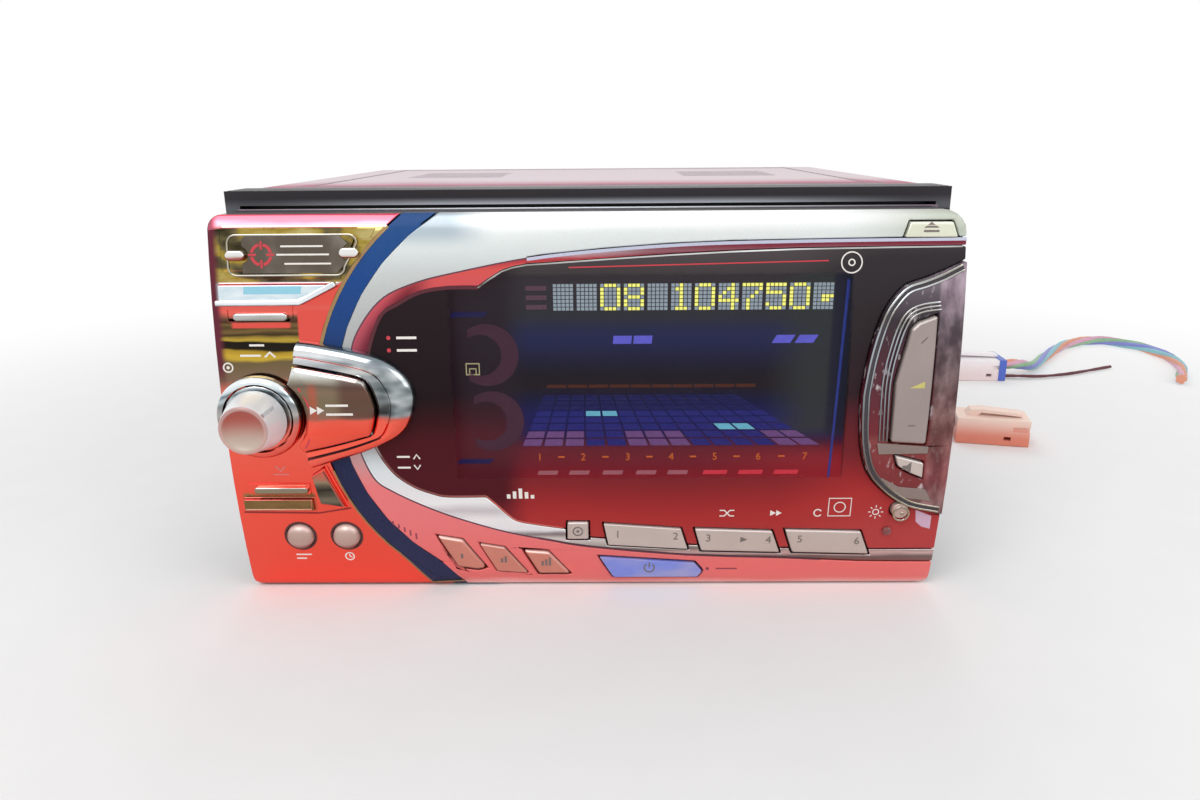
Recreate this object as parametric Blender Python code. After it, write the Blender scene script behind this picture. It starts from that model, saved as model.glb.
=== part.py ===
"""Car stereo of double height, with a bulged fold-down face, a disc slot and a cartridge slot behind it.

Lengths are in metres. X runs to the right, Y to the back and Z up. The face pieces are
drawn in the face's own frame: x from its middle, depth behind the face plane, z from its
bottom edge. Tables whose name ends in SHARES hold shares of half the face's width and of
its height.
"""

import math

import bmesh
import bpy
from mathutils import Vector

# Clearances between pieces
GAP = 0.0003
ROCK_GAP = 0.0004
OVERRUN = 0.002

# Sleeve behind the face
CHASSIS_WIDE = 0.178
CHASSIS_HIGH = 0.1003
CHASSIS_DEEP = 0.1432
SHEET = 0.0010
COVER_SHEET = 0.0008
COVER_FLANGE = 0.009
REAR_PROUD = 0.006

# Slots that let the heat out of the cover, the tray's sides and its floor
VENT_WIDE = 0.0022
VENT_PITCH = 0.0046
COVER_VENT_EDGE = 0.027
COVER_VENT_LONG = 0.032
COVER_VENT_START = 0.0645
COVER_VENT_COUNT = 9
SIDE_VENT_RISE = 0.032
SIDE_VENT_LONG = 0.028
SIDE_VENT_START = 0.0585
SIDE_VENT_COUNT = 12
FLOOR_VENT_WIDE = 0.0032
FLOOR_VENT_PITCH = 0.009
FLOOR_VENT_EDGE = 0.024
FLOOR_VENT_LONG = 0.040
FLOOR_VENT_START = 0.030
FLOOR_VENT_COUNT = 8
VENT_END_STEPS = 4

# Black nose that carries the face
NOSE_LIP = 0.0010
NOSE_CROWN = 0.0004
NOSE_DEEP = 0.0144
NOSE_WALL = 0.0036
NOSE_RECESS = 0.0034
NOSE_RECESS_HIGH = 0.009
NOSE_WIDE = CHASSIS_WIDE + 2 * NOSE_LIP
NOSE_HIGH = CHASSIS_HIGH + COVER_SHEET + NOSE_CROWN

# Fold-down face
PANEL_INSET = 0.0010
PANEL_DROP = 0.0046
PANEL_LIFT = 0.0003
PANEL_TO_NOSE = 0.0005
PANEL_WIDE = NOSE_WIDE - 2 * PANEL_INSET
PANEL_HIGH = NOSE_HIGH - PANEL_LIFT - PANEL_DROP
BULGE = 0.005
EDGE_ROLL = 0.0010
EDGE_ROLL_HIGH = 0.0035
SKIN_THICK = 0.0022
SHELL_WALL = 0.0015
SHELL_DEEP = 0.011
COVER_THICK = 0.002
TOP_LEFT_CORNER = 0.003
TOP_RIGHT_CORNER = 0.005
BOTTOM_CORNER = 0.0022
BAND_SHARES = (0, 0.012, 0.036, 0.12, 0.22, 0.32, 0.42, 0.5, 0.58, 0.68, 0.78, 0.88, 0.964, 0.988, 1)

# Circuit board and display inside the face
BOARD_DEPTH = 0.0060
BOARD_THICK = 0.0016
DISPLAY_DEPTH = 0.0004
DISPLAY_SHARES = ((-0.405, 0.290), (0.720, 0.860))

# Hinge along the bottom of the face
HINGE_AHEAD = 0.0008
HINGE_RISE = 0.0036
HINGE_ROOM = 0.0004
ROD_RADIUS = 0.0011
BARREL_RADIUS = 0.0022
BARREL_LONG = 0.0055
HINGE_SPREAD = 0.058
ROD_TAIL = 0.001
EAR_WEB_DROP = 0.0012
COVER_RISE = HINGE_RISE + BARREL_RADIUS + HINGE_ROOM

# Latch tongue at the top of the face
LATCH_WIDE = 0.012
LATCH_THICK = 0.0020
LATCH_DROP = 0.0066
LATCH_REACH = 0.0028
LATCH_ROOM = 0.0012
LATCH_RISE = PANEL_HIGH - LATCH_DROP

# Rotary knob, its push shaft and the ring round it
KNOB_SHARES = (-0.891, 0.506)
KNOB_REACH = 0.0175
KNOB_BASE_RADIUS = 0.0074
KNOB_TAPER = 0.0017
KNOB_DISH = 0.0010
KNOB_RIM = 0.0011
SHAFT_RADIUS = 0.0028
SHAFT_END = 0.0025
FLANGE_SHOWS = 0.0008
FLANGE_THICK = 0.0016
FLANGE_RADIUS = KNOB_BASE_RADIUS + FLANGE_SHOWS
RING_PLAY = 0.0004
RING_WIDE = 0.0018
RING_CHAMFER = 0.0008
RING_THICK = 0.0022
RING_LIFT = 0.0011
RING_BORE = FLANGE_RADIUS + RING_PLAY
RING_RADIUS = RING_BORE + RING_WIDE

# Pod and its paddle beside the knob
POD_PROUD = 0.0030
POD_ROOM = 0.0007
PADDLE_PROUD = 0.0040
PADDLE_BACK = 0.0015
PADDLE_ARC_ROOM = 0.0012
PADDLE_ARC_DEGREES = (-40, 50)
PADDLE_HINGE_AWAY = 0.0078
POD_SHARES = (
    (-0.772, 0.698), (-0.707, 0.673), (-0.646, 0.673), (-0.619, 0.683), (-0.565, 0.673),
    (-0.510, 0.639), (-0.476, 0.599), (-0.467, 0.559), (-0.476, 0.509), (-0.498, 0.469),
    (-0.542, 0.439), (-0.618, 0.409), (-0.672, 0.393), (-0.760, 0.367),
)
POD_ARC_DEGREES = (-62, 62)
PADDLE_SHARES = (
    (-0.788, 0.636), (-0.752, 0.631), (-0.617, 0.605), (-0.590, 0.583), (-0.576, 0.546),
    (-0.573, 0.519), (-0.589, 0.465), (-0.616, 0.453), (-0.706, 0.431), (-0.778, 0.417),
)

# Stripe, a slice of an oval ring between the two halves of the face
STRIPE_CENTRE_SHARES = (-0.0900, 0.5260)
STRIPE_REACH_SHARES = (0.6483, 0.5973)
STRIPE_WIDE = 0.0044
STRIPE_STEPS = 14

# Curved line between the silver shell and the dished surround of the window
SILVER_LINE_SHARES = (
    (1.0, 0.934), (0.559, 0.931), (0.224, 0.923), (-0.111, 0.898), (-0.333, 0.862),
    (-0.462, 0.833), (-0.552, 0.791), (-0.622, 0.703), (-0.640, 0.620), (-0.645, 0.535),
    (-0.640, 0.440), (-0.604, 0.336), (-0.550, 0.292), (-0.441, 0.239), (-0.331, 0.199),
    (-0.221, 0.167), (-0.110, 0.145), (0.001, 0.125), (0.279, 0.098), (0.558, 0.088),
    (0.782, 0.077), (1.0, 0.075),
)
LENS_TOP_SHARES = (
    (1.0, 0.914), (0.558, 0.910), (0.223, 0.898), (-0.111, 0.879), (-0.166, 0.875),
    (-0.222, 0.862), (-0.287, 0.823),
)
LENS_LEFT_SHARES = (
    (-0.287, 0.823), (-0.365, 0.823), (-0.442, 0.812), (-0.505, 0.783), (-0.551, 0.753),
    (-0.590, 0.655), (-0.600, 0.535), (-0.590, 0.430), (-0.548, 0.353), (-0.494, 0.310),
    (-0.440, 0.288), (-0.396, 0.279), (-0.289, 0.279),
)
LENS_BOTTOM_SHARES = (
    (-0.289, 0.279), (-0.264, 0.257), (-0.220, 0.216), (-0.187, 0.201), (-0.073, 0.183),
)
LENS_FOOT_SHARES = ((0.0, 0.155), (0.290, 0.131), (0.560, 0.119), (0.820, 0.115), (1.0, 0.115))

# Volume pod at the right
VOLUME_POD_PROUD = 0.0012
VOLUME_POD_SHARES = (
    (1.0, 0.880), (0.936, 0.853), (0.888, 0.836), (0.851, 0.825), (0.822, 0.802),
    (0.788, 0.753), (0.761, 0.667), (0.747, 0.583), (0.744, 0.533), (0.751, 0.430),
    (0.775, 0.350), (0.818, 0.300), (0.864, 0.266), (0.911, 0.244), (1.0, 0.224),
)
VOLUME_ROCKER_SHARES = (
    (0.829, 0.431), (0.925, 0.425), (0.929, 0.752), (0.880, 0.735), (0.861, 0.718), (0.829, 0.586),
)
VOLUME_ROCKER_PROUD = 0.0020

# Keys
KEY_PROUD = 0.0005
KEY_TRAVEL = 0.0006
ROUND_KEY_RADIUS = 0.0035
ROUND_KEY_PROUD = 0.0012
DIMMER_RADIUS = 0.0021
ROUND_KEYS = {"auto_key": (-0.834, 0.160), "clock_key": (-0.700, 0.160), "dimmer_key": (0.881, 0.235)}
KEY_SHARES = {
    "open_key": ((0.838, 0.936), (0.976, 0.936), (0.963, 0.972), (0.852, 0.972)),
    "mute_key": ((0.846, 0.394), (0.857, 0.365), (0.891, 0.347), (0.926, 0.333), (0.925, 0.374)),
    "disc_key": ((-0.062, 0.148), (-0.001, 0.148), (-0.001, 0.200), (-0.061, 0.200)),
    "source_key": ((0.030, 0.092), (0.071, 0.025), (0.317, 0.025), (0.330, 0.045), (0.307, 0.072)),
    "analyser_key_1": (
        (-0.439, 0.160), (-0.385, 0.060), (-0.326, 0.052), (-0.304, 0.058), (-0.367, 0.147),
    ),
    "analyser_key_2": ((-0.315, 0.134), (-0.270, 0.049), (-0.184, 0.042), (-0.247, 0.122)),
    "analyser_key_3": ((-0.191, 0.114), (-0.148, 0.037), (-0.057, 0.037), (-0.119, 0.108)),
}
PRESET_SHARES = {
    "preset_rocker_1": ((0.043, 0.195), (0.056, 0.131), (0.285, 0.117), (0.264, 0.179)),
    "preset_rocker_2": ((0.304, 0.179), (0.325, 0.111), (0.552, 0.105), (0.526, 0.171)),
    "preset_rocker_3": ((0.563, 0.175), (0.589, 0.105), (0.810, 0.099), (0.780, 0.169)),
}
ROCKER_AXIS_DEPTH = 0.001

# Trim on the left half
PLAQUE_SHARES = ((-0.962, 0.858), (-0.655, 0.858), (-0.605, 0.959), (-0.962, 0.959))
UPPER_BAR_SHARES = ((-0.954, 0.747), (-0.798, 0.747), (-0.798, 0.768), (-0.954, 0.768))
LOWER_BAR_SHARES = ((-0.946, 0.287), (-0.794, 0.287), (-0.794, 0.308), (-0.946, 0.308))
TRIM_PROUD = 0.0003
LEDGE_PROUD = 0.0013
LEDGE_SHARES = ((-0.975, 0.793), (-0.775, 0.793), (-0.670, 0.835), (-0.975, 0.835))
LIP_SHARES = ((-0.975, 0.243), (-0.778, 0.243), (-0.778, 0.276), (-0.975, 0.276))
WEDGE_SHARES = ((-0.757, 0.262), (-0.684, 0.250), (-0.735, 0.366), (-0.773, 0.343))

# Fascia behind the face, with its slots and eject keys
FASCIA_SET_BACK = 0.0060
FASCIA_THICK = 0.0020
DISC_SLOT_EDGE = 0.027
DISC_SLOT_WIDE = CHASSIS_WIDE - 2 * DISC_SLOT_EDGE
DISC_SLOT_HIGH = 0.0056
DISC_RISE = 0.0740
CARTRIDGE_SLOT_WIDE = 0.071
CARTRIDGE_SLOT_HIGH = 0.0068
CARTRIDGE_RISE = 0.0300
EJECT_KEY_WIDE = 0.009
EJECT_KEY_HIGH = 0.004
EJECT_KEY_PROUD = 0.0010
EJECT_KEY_BACK = 0.0015
DISC_EJECT_EDGE = 0.0116
CARTRIDGE_EJECT_AWAY = 0.0125

# Disc deck
DECK_SHEET = 0.0012
DECK_DROP = 0.0150
DECK_RISE = DISC_RISE - DECK_DROP
DECK_START = 0.0030
DECK_DEEP = 0.132
ROLLER_RADIUS = 0.0030
ROLLER_INSET = 0.002
ROLLER_LONG = DISC_SLOT_WIDE - 2 * ROLLER_INSET
ROLLER_SET_BACK = 0.0140
ROLLER_PIN_RADIUS = 0.0013
ROLLER_PIN_LONG = 0.005
BEARING_WIDE = 0.003
BEARING_DEEP = 0.008
BEARING_TOP = 0.0035
SPINDLE_SET_BACK = 0.0710
MOTOR_RADIUS = 0.0110
MOTOR_HIGH = 0.0070
TURNTABLE_RADIUS = 0.0130
TURNTABLE_THICK = 0.0020
HUB_RADIUS = 0.0073
HUB_HIGH = 0.0018
SLED_WIDE = 0.024
SLED_DEEP = 0.012
SLED_HIGH = 0.0060
SLED_GAP_TO_TABLE = 0.003
SLED_TRAVEL = 0.030
RAIL_RADIUS = 0.0012
RAIL_SPREAD = 0.0085
RAIL_RISE = 0.0045
RAIL_BLOCK = 0.004
LENS_RADIUS = 0.0020
LENS_HIGH = 0.0008

# Cartridge deck
CARTRIDGE_DECK_HIGH = 0.0200
CARTRIDGE_DECK_RISE = CARTRIDGE_RISE - CARTRIDGE_DECK_HIGH / 2
CARTRIDGE_DECK_WIDE = 0.084
CARTRIDGE_DECK_DEEP = 0.080
CARTRIDGE_WALL = 0.003

# Main board and what stands on it
MAIN_BOARD_RISE = 0.0055
MAIN_BOARD_THICK = 0.0016
MAIN_BOARD_START = 0.004
MAIN_BOARD_END = 0.003
TUNER_WIDE = 0.040
TUNER_DEEP = 0.030
TUNER_HIGH = 0.010
TUNER_EDGE = 0.0080

# Rear of the chassis
HEAT_SINK_WIDE = 0.080
HEAT_SINK_HIGH = 0.046
HEAT_SINK_EDGE = 0.0110
HEAT_SINK_RISE = 0.036
HEAT_SINK_BASE = 0.0020
FIN_COUNT = 12
FIN_THICK = 0.0016
SOCKET_WIDE = 0.046
SOCKET_HIGH = 0.020
SOCKET_EDGE = 0.0160
SOCKET_RISE = 0.0120
SOCKET_INSIDE = 0.012
AERIAL_RADIUS = 0.0055
AERIAL_BORE = 0.0032
AERIAL_EDGE = 0.0230
AERIAL_RISE = 0.0180
AERIAL_INSIDE = 0.008

# Leads that lie on the ground beside the chassis
HARNESS_WIDE = 0.0050
LEAD_WIDE = 0.0044
THIN_LEAD_WIDE = 0.0016
PLUG_A_SIZE = (0.032, 0.018, 0.0125)
PLUG_A_AT = (0.1800, 0.2110)
PLUG_A_TURN = -4
PLUG_B_SIZE = (0.026, 0.015, 0.0125)
PLUG_B_AT = (0.1530, 0.1170)
PLUG_B_TURN = -14
LEAD_A_ASIDE = 0.006
LEAD_B_ASIDE = 0.014
LEAD_EXIT_RISE = 0.0215
LEAD_STRAIGHT = 0.0085
THIN_LEAD_ASIDE = -0.0050

# Points of each lead's route between its ends: x, depth behind the face plane, height
LEAD_A_ROUTE = (
    (0.0610, 0.2010, 0.0125), (0.0790, 0.2130, 0.0030), (0.1030, 0.2190, 0.0023), (0.1290, 0.2180, 0.0026),
)
LEAD_B_ROUTE = (
    (0.0740, 0.1985, 0.0130), (0.0925, 0.1985, 0.0032), (0.1080, 0.1820, 0.0023), (0.1135, 0.1590, 0.0023),
    (0.1150, 0.1370, 0.0028),
)
HARNESS_ROUTE = (
    (0.2170, 0.2200, 0.0030), (0.2360, 0.2440, 0.0026), (0.2570, 0.2670, 0.0026), (0.2790, 0.2760, 0.0026),
    (0.2930, 0.2600, 0.0026), (0.2940, 0.2350, 0.0026), (0.2860, 0.2120, 0.0026), (0.2740, 0.1930, 0.0026),
)
THIN_LEAD_ROUTE = (
    (0.2140, 0.2050, 0.0012), (0.2290, 0.2100, 0.0009), (0.2440, 0.2170, 0.0009), (0.2580, 0.2240, 0.0009),
)

# Finishes: colour, roughness, metallic
FINISHES = {
    "chrome": ((0.62, 0.60, 0.58), 0.12, 1.0),
    "red_chrome": ((0.80, 0.16, 0.12), 0.16, 0.9),
    "silver": ((0.72, 0.72, 0.70), 0.32, 0.6),
    "navy": ((0.02, 0.03, 0.09), 0.30, 0.2),
    "smoked": ((0.02, 0.012, 0.014), 0.06, 0.0),
    "champagne": ((0.50, 0.42, 0.38), 0.36, 0.5),
    "blue_key": ((0.35, 0.34, 0.62), 0.25, 0.0),
    "plaque": ((0.22, 0.21, 0.20), 0.40, 0.6),
    "amber": ((0.32, 0.22, 0.16), 0.20, 0.3),
    "display": ((0.02, 0.03, 0.10), 0.30, 0.0),
    "black_plastic": ((0.045, 0.038, 0.045), 0.45, 0.0),
    "dark_plastic": ((0.09, 0.085, 0.09), 0.50, 0.0),
    "board": ((0.02, 0.14, 0.06), 0.45, 0.0),
    "steel": ((0.58, 0.54, 0.56), 0.34, 0.9),
    "zinc": ((0.52, 0.50, 0.46), 0.38, 0.9),
    "cast": ((0.10, 0.10, 0.11), 0.50, 0.7),
    "rubber": ((0.03, 0.03, 0.03), 0.80, 0.0),
    "white_plastic": ((0.82, 0.78, 0.78), 0.40, 0.0),
    "wire": ((0.30, 0.32, 0.62), 0.45, 0.0),
}

# Places that follow from the sizes above
HALF = PANEL_WIDE / 2
NOSE_DEPTH = SHELL_DEEP + GAP + COVER_THICK + PANEL_TO_NOSE
HINGE_DEPTH = NOSE_DEPTH - HINGE_AHEAD
TRAY_DEPTH = NOSE_DEPTH + NOSE_DEEP + GAP
REAR_DEPTH = TRAY_DEPTH + CHASSIS_DEEP
FACE_Y = KNOB_REACH - (KNOB_REACH + REAR_DEPTH + REAR_PROUD) / 2
TRAY_HALF = CHASSIS_WIDE / 2
TRAY_INNER = TRAY_HALF - SHEET
FASCIA_DEPTH = NOSE_DEPTH + FASCIA_SET_BACK
SHELL_FRONT = SKIN_THICK + GAP
KEY_BACK = BOARD_DEPTH - KEY_TRAVEL - GAP
KNOB_AT = (KNOB_SHARES[0] * HALF, KNOB_SHARES[1] * PANEL_HIGH)
STRIPE_CENTRE = (STRIPE_CENTRE_SHARES[0] * HALF, STRIPE_CENTRE_SHARES[1] * PANEL_HIGH)
STRIPE_REACH = (STRIPE_REACH_SHARES[0] * HALF, STRIPE_REACH_SHARES[1] * PANEL_HIGH)
FASCIA_HALF = NOSE_WIDE / 2 - NOSE_WALL - GAP
DISC_EJECT_X = FASCIA_HALF - DISC_EJECT_EDGE
CARTRIDGE_EJECT_X = CARTRIDGE_SLOT_WIDE / 2 + CARTRIDGE_EJECT_AWAY
TUNER_X = TUNER_EDGE + TUNER_WIDE / 2 - TRAY_INNER
HEAT_SINK_LEFT = HEAT_SINK_EDGE - TRAY_HALF
SOCKET_X = TRAY_HALF - SOCKET_EDGE - SOCKET_WIDE / 2
AERIAL_X = AERIAL_EDGE - TRAY_HALF


def clear_scene():
    for piece in list(bpy.data.objects):
        bpy.data.objects.remove(piece, do_unlink=True)


def finish_of(name):
    """The material of that name, made the first time it is asked for."""
    made = bpy.data.materials.get(name)
    if made is None:
        colour, roughness, metallic = FINISHES[name]
        made = bpy.data.materials.new(name)
        made.use_nodes = True
        shader = made.node_tree.nodes["Principled BSDF"]
        shader.inputs["Base Color"].default_value = (*colour, 1)
        shader.inputs["Roughness"].default_value = roughness
        shader.inputs["Metallic"].default_value = metallic
    return made


def settle(name, shape, finish, origin=None):
    """Turns a bmesh in world coordinates into an object with its origin at a joint."""
    bmesh.ops.recalc_face_normals(shape, faces=shape.faces)
    place = Vector(origin) if origin else Vector()
    bmesh.ops.translate(shape, vec=-place, verts=shape.verts)
    mesh = bpy.data.meshes.new(name)
    shape.to_mesh(mesh)
    shape.free()
    mesh.shade_smooth()
    mesh.set_sharp_from_angle(angle=math.radians(30))
    piece = bpy.data.objects.new(name, mesh)
    piece.location = place
    bpy.context.scene.collection.objects.link(piece)
    if finish:
        mesh.materials.append(finish_of(finish))
    else:
        piece.hide_render = True
        piece.display_type = "WIRE"
    return piece


def boolean(piece, other, operation="DIFFERENCE"):
    change = piece.modifiers.new(other.name, "BOOLEAN")
    change.operation = operation
    change.solver = "EXACT"
    change.object = other
    return piece


def in_world(x, depth, z):
    """A point of the face's own frame in the world."""
    return Vector((x, FACE_Y + depth, PANEL_LIFT + z))


def scaled(shares):
    return [(x * HALF, z * PANEL_HIGH) for x, z in shares]


def smooth(points, steps=3):
    """Points along a Catmull-Rom curve that passes through all the given ones."""
    ends = [points[0], *points, points[-1]]
    found = []
    for a, b, c, d in zip(ends, ends[1:], ends[2:], ends[3:]):
        for step in range(steps):
            t = step / steps
            found.append(
                tuple(
                    q + 0.5 * (r - p) * t + (p - 2.5 * q + 2 * r - 0.5 * s) * t**2
                    + 0.5 * (3 * q - p - 3 * r + s) * t**3
                    for p, q, r, s in zip(a, b, c, d)
                )
            )
    return [*found, points[-1]]


def arc(centre, radius, start, end, steps):
    """Points on a circle from one angle to another, in degrees."""
    angles = [math.radians(start + (end - start) * i / steps) for i in range(steps + 1)]
    return [(centre[0] + radius * math.cos(a), centre[1] + radius * math.sin(a)) for a in angles]


def circle(centre, radius, sides=24):
    return arc(centre, radius, 0, 360 - 360 / sides, sides - 1)


def box_outline(low, high):
    return [low, (high[0], low[1]), high, (low[0], high[1])]


def area_of(outline):
    pairs = zip(outline, outline[1:] + outline[:1])
    return sum(a[0] * b[1] - b[0] * a[1] for a, b in pairs) / 2


def grown(outline, gap):
    """The outline moved outwards by gap, or inwards where gap is negative."""
    turn = 1 if area_of(outline) > 0 else -1
    count = len(outline)
    found = []
    for i, (x, z) in enumerate(outline):
        before = Vector(outline[i]) - Vector(outline[i - 1])
        after = Vector(outline[(i + 1) % count]) - Vector(outline[i])
        normals = [Vector((d.y, -d.x)).normalized() * turn for d in (before, after)]
        middle = normals[0] + normals[1]
        reach = gap * 2 / max(middle.length_squared, 1)
        found.append((x + middle.x * reach, z + middle.y * reach))
    return found


def bulge(z):
    """How far the face stands ahead of its edges at a height, flat within each band."""
    share = min(max(z / PANEL_HIGH, 0), 1)
    for low, high in zip(BAND_SHARES, BAND_SHARES[1:]):
        if share <= high:
            within = (share - low) / (high - low)
            return crown(low) + within * (crown(high) - crown(low))
    return crown(1)


def crown(share):
    from_edge = min(share, 1 - share) * PANEL_HIGH
    roll = max(0, 1 - from_edge / EDGE_ROLL_HIGH)
    return BULGE * (1 - (2 * share - 1) ** 2) - EDGE_ROLL * roll**2


def prism(outline, near, far, point=in_world):
    """A closed bmesh of the outline swept from near to far, with point giving each place."""
    shape = bmesh.new()
    loops = [[shape.verts.new(point(a, depth, b)) for a, b in outline] for depth in (near, far)]
    shape.faces.new(loops[0])
    shape.faces.new(loops[1][::-1])
    count = len(outline)
    for i in range(count):
        j = (i + 1) % count
        shape.faces.new((loops[0][i], loops[1][i], loops[1][j], loops[0][j]))
    return shape


def along_x(a, x, b):
    """Places an outline of depth and height on a plane across X."""
    return Vector((x, FACE_Y + a, b))


def on_ground(x, z, depth):
    """Places an outline of x and depth on a level plane."""
    return Vector((x, FACE_Y + depth, z))


def on_side(height, x, depth):
    """Places an outline of height and depth on a plane across X."""
    return Vector((x, FACE_Y + depth, height))


def upright(x, depth, z):
    """Places an outline of x and height on a plane across Y, measured from the ground."""
    return Vector((x, FACE_Y + depth, z))


def slab(name, outline, front, back, finish, bend_back=True, origin=None):
    """A piece of the face: its front, and its back too if asked, follow the bulge."""
    shape = prism(outline, front, back)
    for share in BAND_SHARES[1:-1]:
        height = PANEL_LIFT + share * PANEL_HIGH
        geometry = [*shape.verts, *shape.edges, *shape.faces]
        bmesh.ops.bisect_plane(shape, geom=geometry, plane_co=(0, 0, height), plane_no=(0, 0, 1))
    middle = FACE_Y + (front + back) / 2
    for corner in shape.verts:
        if bend_back or corner.co.y < middle:
            corner.co.y -= bulge(corner.co.z - PANEL_LIFT)
    return settle(name, shape, finish, origin)


def block(name, low, high, finish, origin=None):
    """A plain box between two corners: x, depth, height above the ground."""
    shape = prism(box_outline((low[0], low[2]), (high[0], high[2])), low[1], high[1], upright)
    return settle(name, shape, finish, origin)


def joined(name, shapes, finish=None, origin=None):
    """One object of several closed shapes that don't touch, for use as a cutter."""
    whole = bmesh.new()
    for shape in shapes:
        mesh = bpy.data.meshes.new(name)
        shape.to_mesh(mesh)
        shape.free()
        whole.from_mesh(mesh)
        bpy.data.meshes.remove(mesh)
    return settle(name, whole, finish, origin)


def turned(name, profile, centre, axis, finish, origin=None, sides=24):
    """A solid turned round an axis: profile is (radius, place along the axis) from end to end."""
    shape = bmesh.new()
    side = Vector((0, 0, 1)) if axis != "Z" else Vector((1, 0, 0))
    along = {"X": Vector((1, 0, 0)), "Y": Vector((0, 1, 0)), "Z": Vector((0, 0, 1))}[axis]
    other = along.cross(side)
    rings = []
    for radius, place in profile:
        middle = Vector(centre) + along * place
        if radius == 0:
            rings.append([shape.verts.new(middle)])
            continue
        angles = [2 * math.pi * i / sides for i in range(sides)]
        rings.append(
            [shape.verts.new(middle + radius * (side * math.cos(a) + other * math.sin(a))) for a in angles]
        )
    for one, two in zip(rings, rings[1:]):
        for i in range(sides):
            j = (i + 1) % sides
            corners = [one[i % len(one)], one[j % len(one)], two[j % len(two)], two[i % len(two)]]
            shape.faces.new(list(dict.fromkeys(corners)))
    for ring in (rings[0], rings[-1]):
        if len(ring) > 1 and rings[0] is not rings[-1]:
            shape.faces.new(ring)
    return settle(name, shape, finish, origin)


def tube_ring(name, profile, centre, axis, finish, origin=None, sides=24):
    """A turned ring with a hole: profile is a closed loop of (radius, place along the axis)."""
    shape = bmesh.new()
    side = Vector((0, 0, 1)) if axis != "Z" else Vector((1, 0, 0))
    along = {"X": Vector((1, 0, 0)), "Y": Vector((0, 1, 0)), "Z": Vector((0, 0, 1))}[axis]
    other = along.cross(side)
    rings = []
    for radius, place in profile:
        angles = [2 * math.pi * i / sides for i in range(sides)]
        spokes = [side * math.cos(a) + other * math.sin(a) for a in angles]
        rings.append([shape.verts.new(Vector(centre) + along * place + radius * s) for s in spokes])
    for k, one in enumerate(rings):
        two = rings[(k + 1) % len(rings)]
        for i in range(sides):
            j = (i + 1) % sides
            shape.faces.new((one[i], one[j], two[j], two[i]))
    return settle(name, shape, finish, origin)


def rounded_corner(corner, radius, start, steps=5):
    """Points of a quarter circle inside a corner, going anticlockwise from a start angle."""
    turn = math.radians(start + 45)
    centre = (
        corner[0] - math.copysign(radius, math.cos(turn)),
        corner[1] - math.copysign(radius, math.sin(turn)),
    )
    return arc(centre, radius, start, start + 90, steps)


TOP_LEFT = rounded_corner((-HALF, PANEL_HIGH), TOP_LEFT_CORNER, 90)
TOP_RIGHT = rounded_corner((HALF, PANEL_HIGH), TOP_RIGHT_CORNER, 0)
BOTTOM_LEFT = rounded_corner((-HALF, 0), BOTTOM_CORNER, 180)
BOTTOM_RIGHT = rounded_corner((HALF, 0), BOTTOM_CORNER, 270)


def stripe_edge(inset):
    """The left part of the stripe's oval, drawn in by inset, from the top edge to the bottom."""
    wide, high = (reach - inset for reach in STRIPE_REACH)
    rises = (PANEL_HIGH - STRIPE_CENTRE[1], -STRIPE_CENTRE[1])
    start, end = (math.pi - math.asin(rise / high) for rise in rises)
    angles = [start + (end - start) * i / STRIPE_STEPS for i in range(STRIPE_STEPS + 1)]
    return [(STRIPE_CENTRE[0] + wide * math.cos(a), STRIPE_CENTRE[1] + high * math.sin(a)) for a in angles]


def panel_outline():
    return [*BOTTOM_RIGHT, *TOP_RIGHT, *TOP_LEFT, *BOTTOM_LEFT]


def lens_outline():
    tables = (LENS_TOP_SHARES, LENS_LEFT_SHARES, LENS_BOTTOM_SHARES)
    top, left, bottom = (smooth(scaled(shares), 2) for shares in tables)
    return [*top, *left[1:], *bottom[1:], *scaled(LENS_FOOT_SHARES)]


def surround_outline():
    return smooth(scaled(SILVER_LINE_SHARES), 2)


def paddle_outline():
    low, high = PADDLE_ARC_DEGREES
    return [*scaled(PADDLE_SHARES), *arc(KNOB_AT, RING_RADIUS + PADDLE_ARC_ROOM, low, high, 8)]


def pod_outline():
    low, high = POD_ARC_DEGREES
    return [*smooth(scaled(POD_SHARES), 2), *arc(KNOB_AT, RING_RADIUS + POD_ROOM, low, high, 8)]


def round_key_outline(name):
    centre = scaled([ROUND_KEYS[name]])[0]
    return circle(centre, DIMMER_RADIUS if name == "dimmer_key" else ROUND_KEY_RADIUS, 20)


def key_outlines():
    """Each key's outline by name, with the rockers among them."""
    found = {name: scaled(shares) for name, shares in {**KEY_SHARES, **PRESET_SHARES}.items()}
    found["volume_rocker"] = scaled(VOLUME_ROCKER_SHARES)
    for name in ROUND_KEYS:
        found[name] = round_key_outline(name)
    return found


def key_holes(name, wanted):
    """A cutter with the hole of each wanted key, right through the face's front."""
    outlines = key_outlines()
    reach = BULGE + POD_PROUD + OVERRUN
    return joined(
        name, [prism(grown(outlines[key], ROCK_GAP), -reach, BOARD_DEPTH - GAP) for key in wanted]
    )


def centre_of(outline):
    return tuple((min(p[k] for p in outline) + max(p[k] for p in outline)) / 2 for k in (0, 1))


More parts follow.
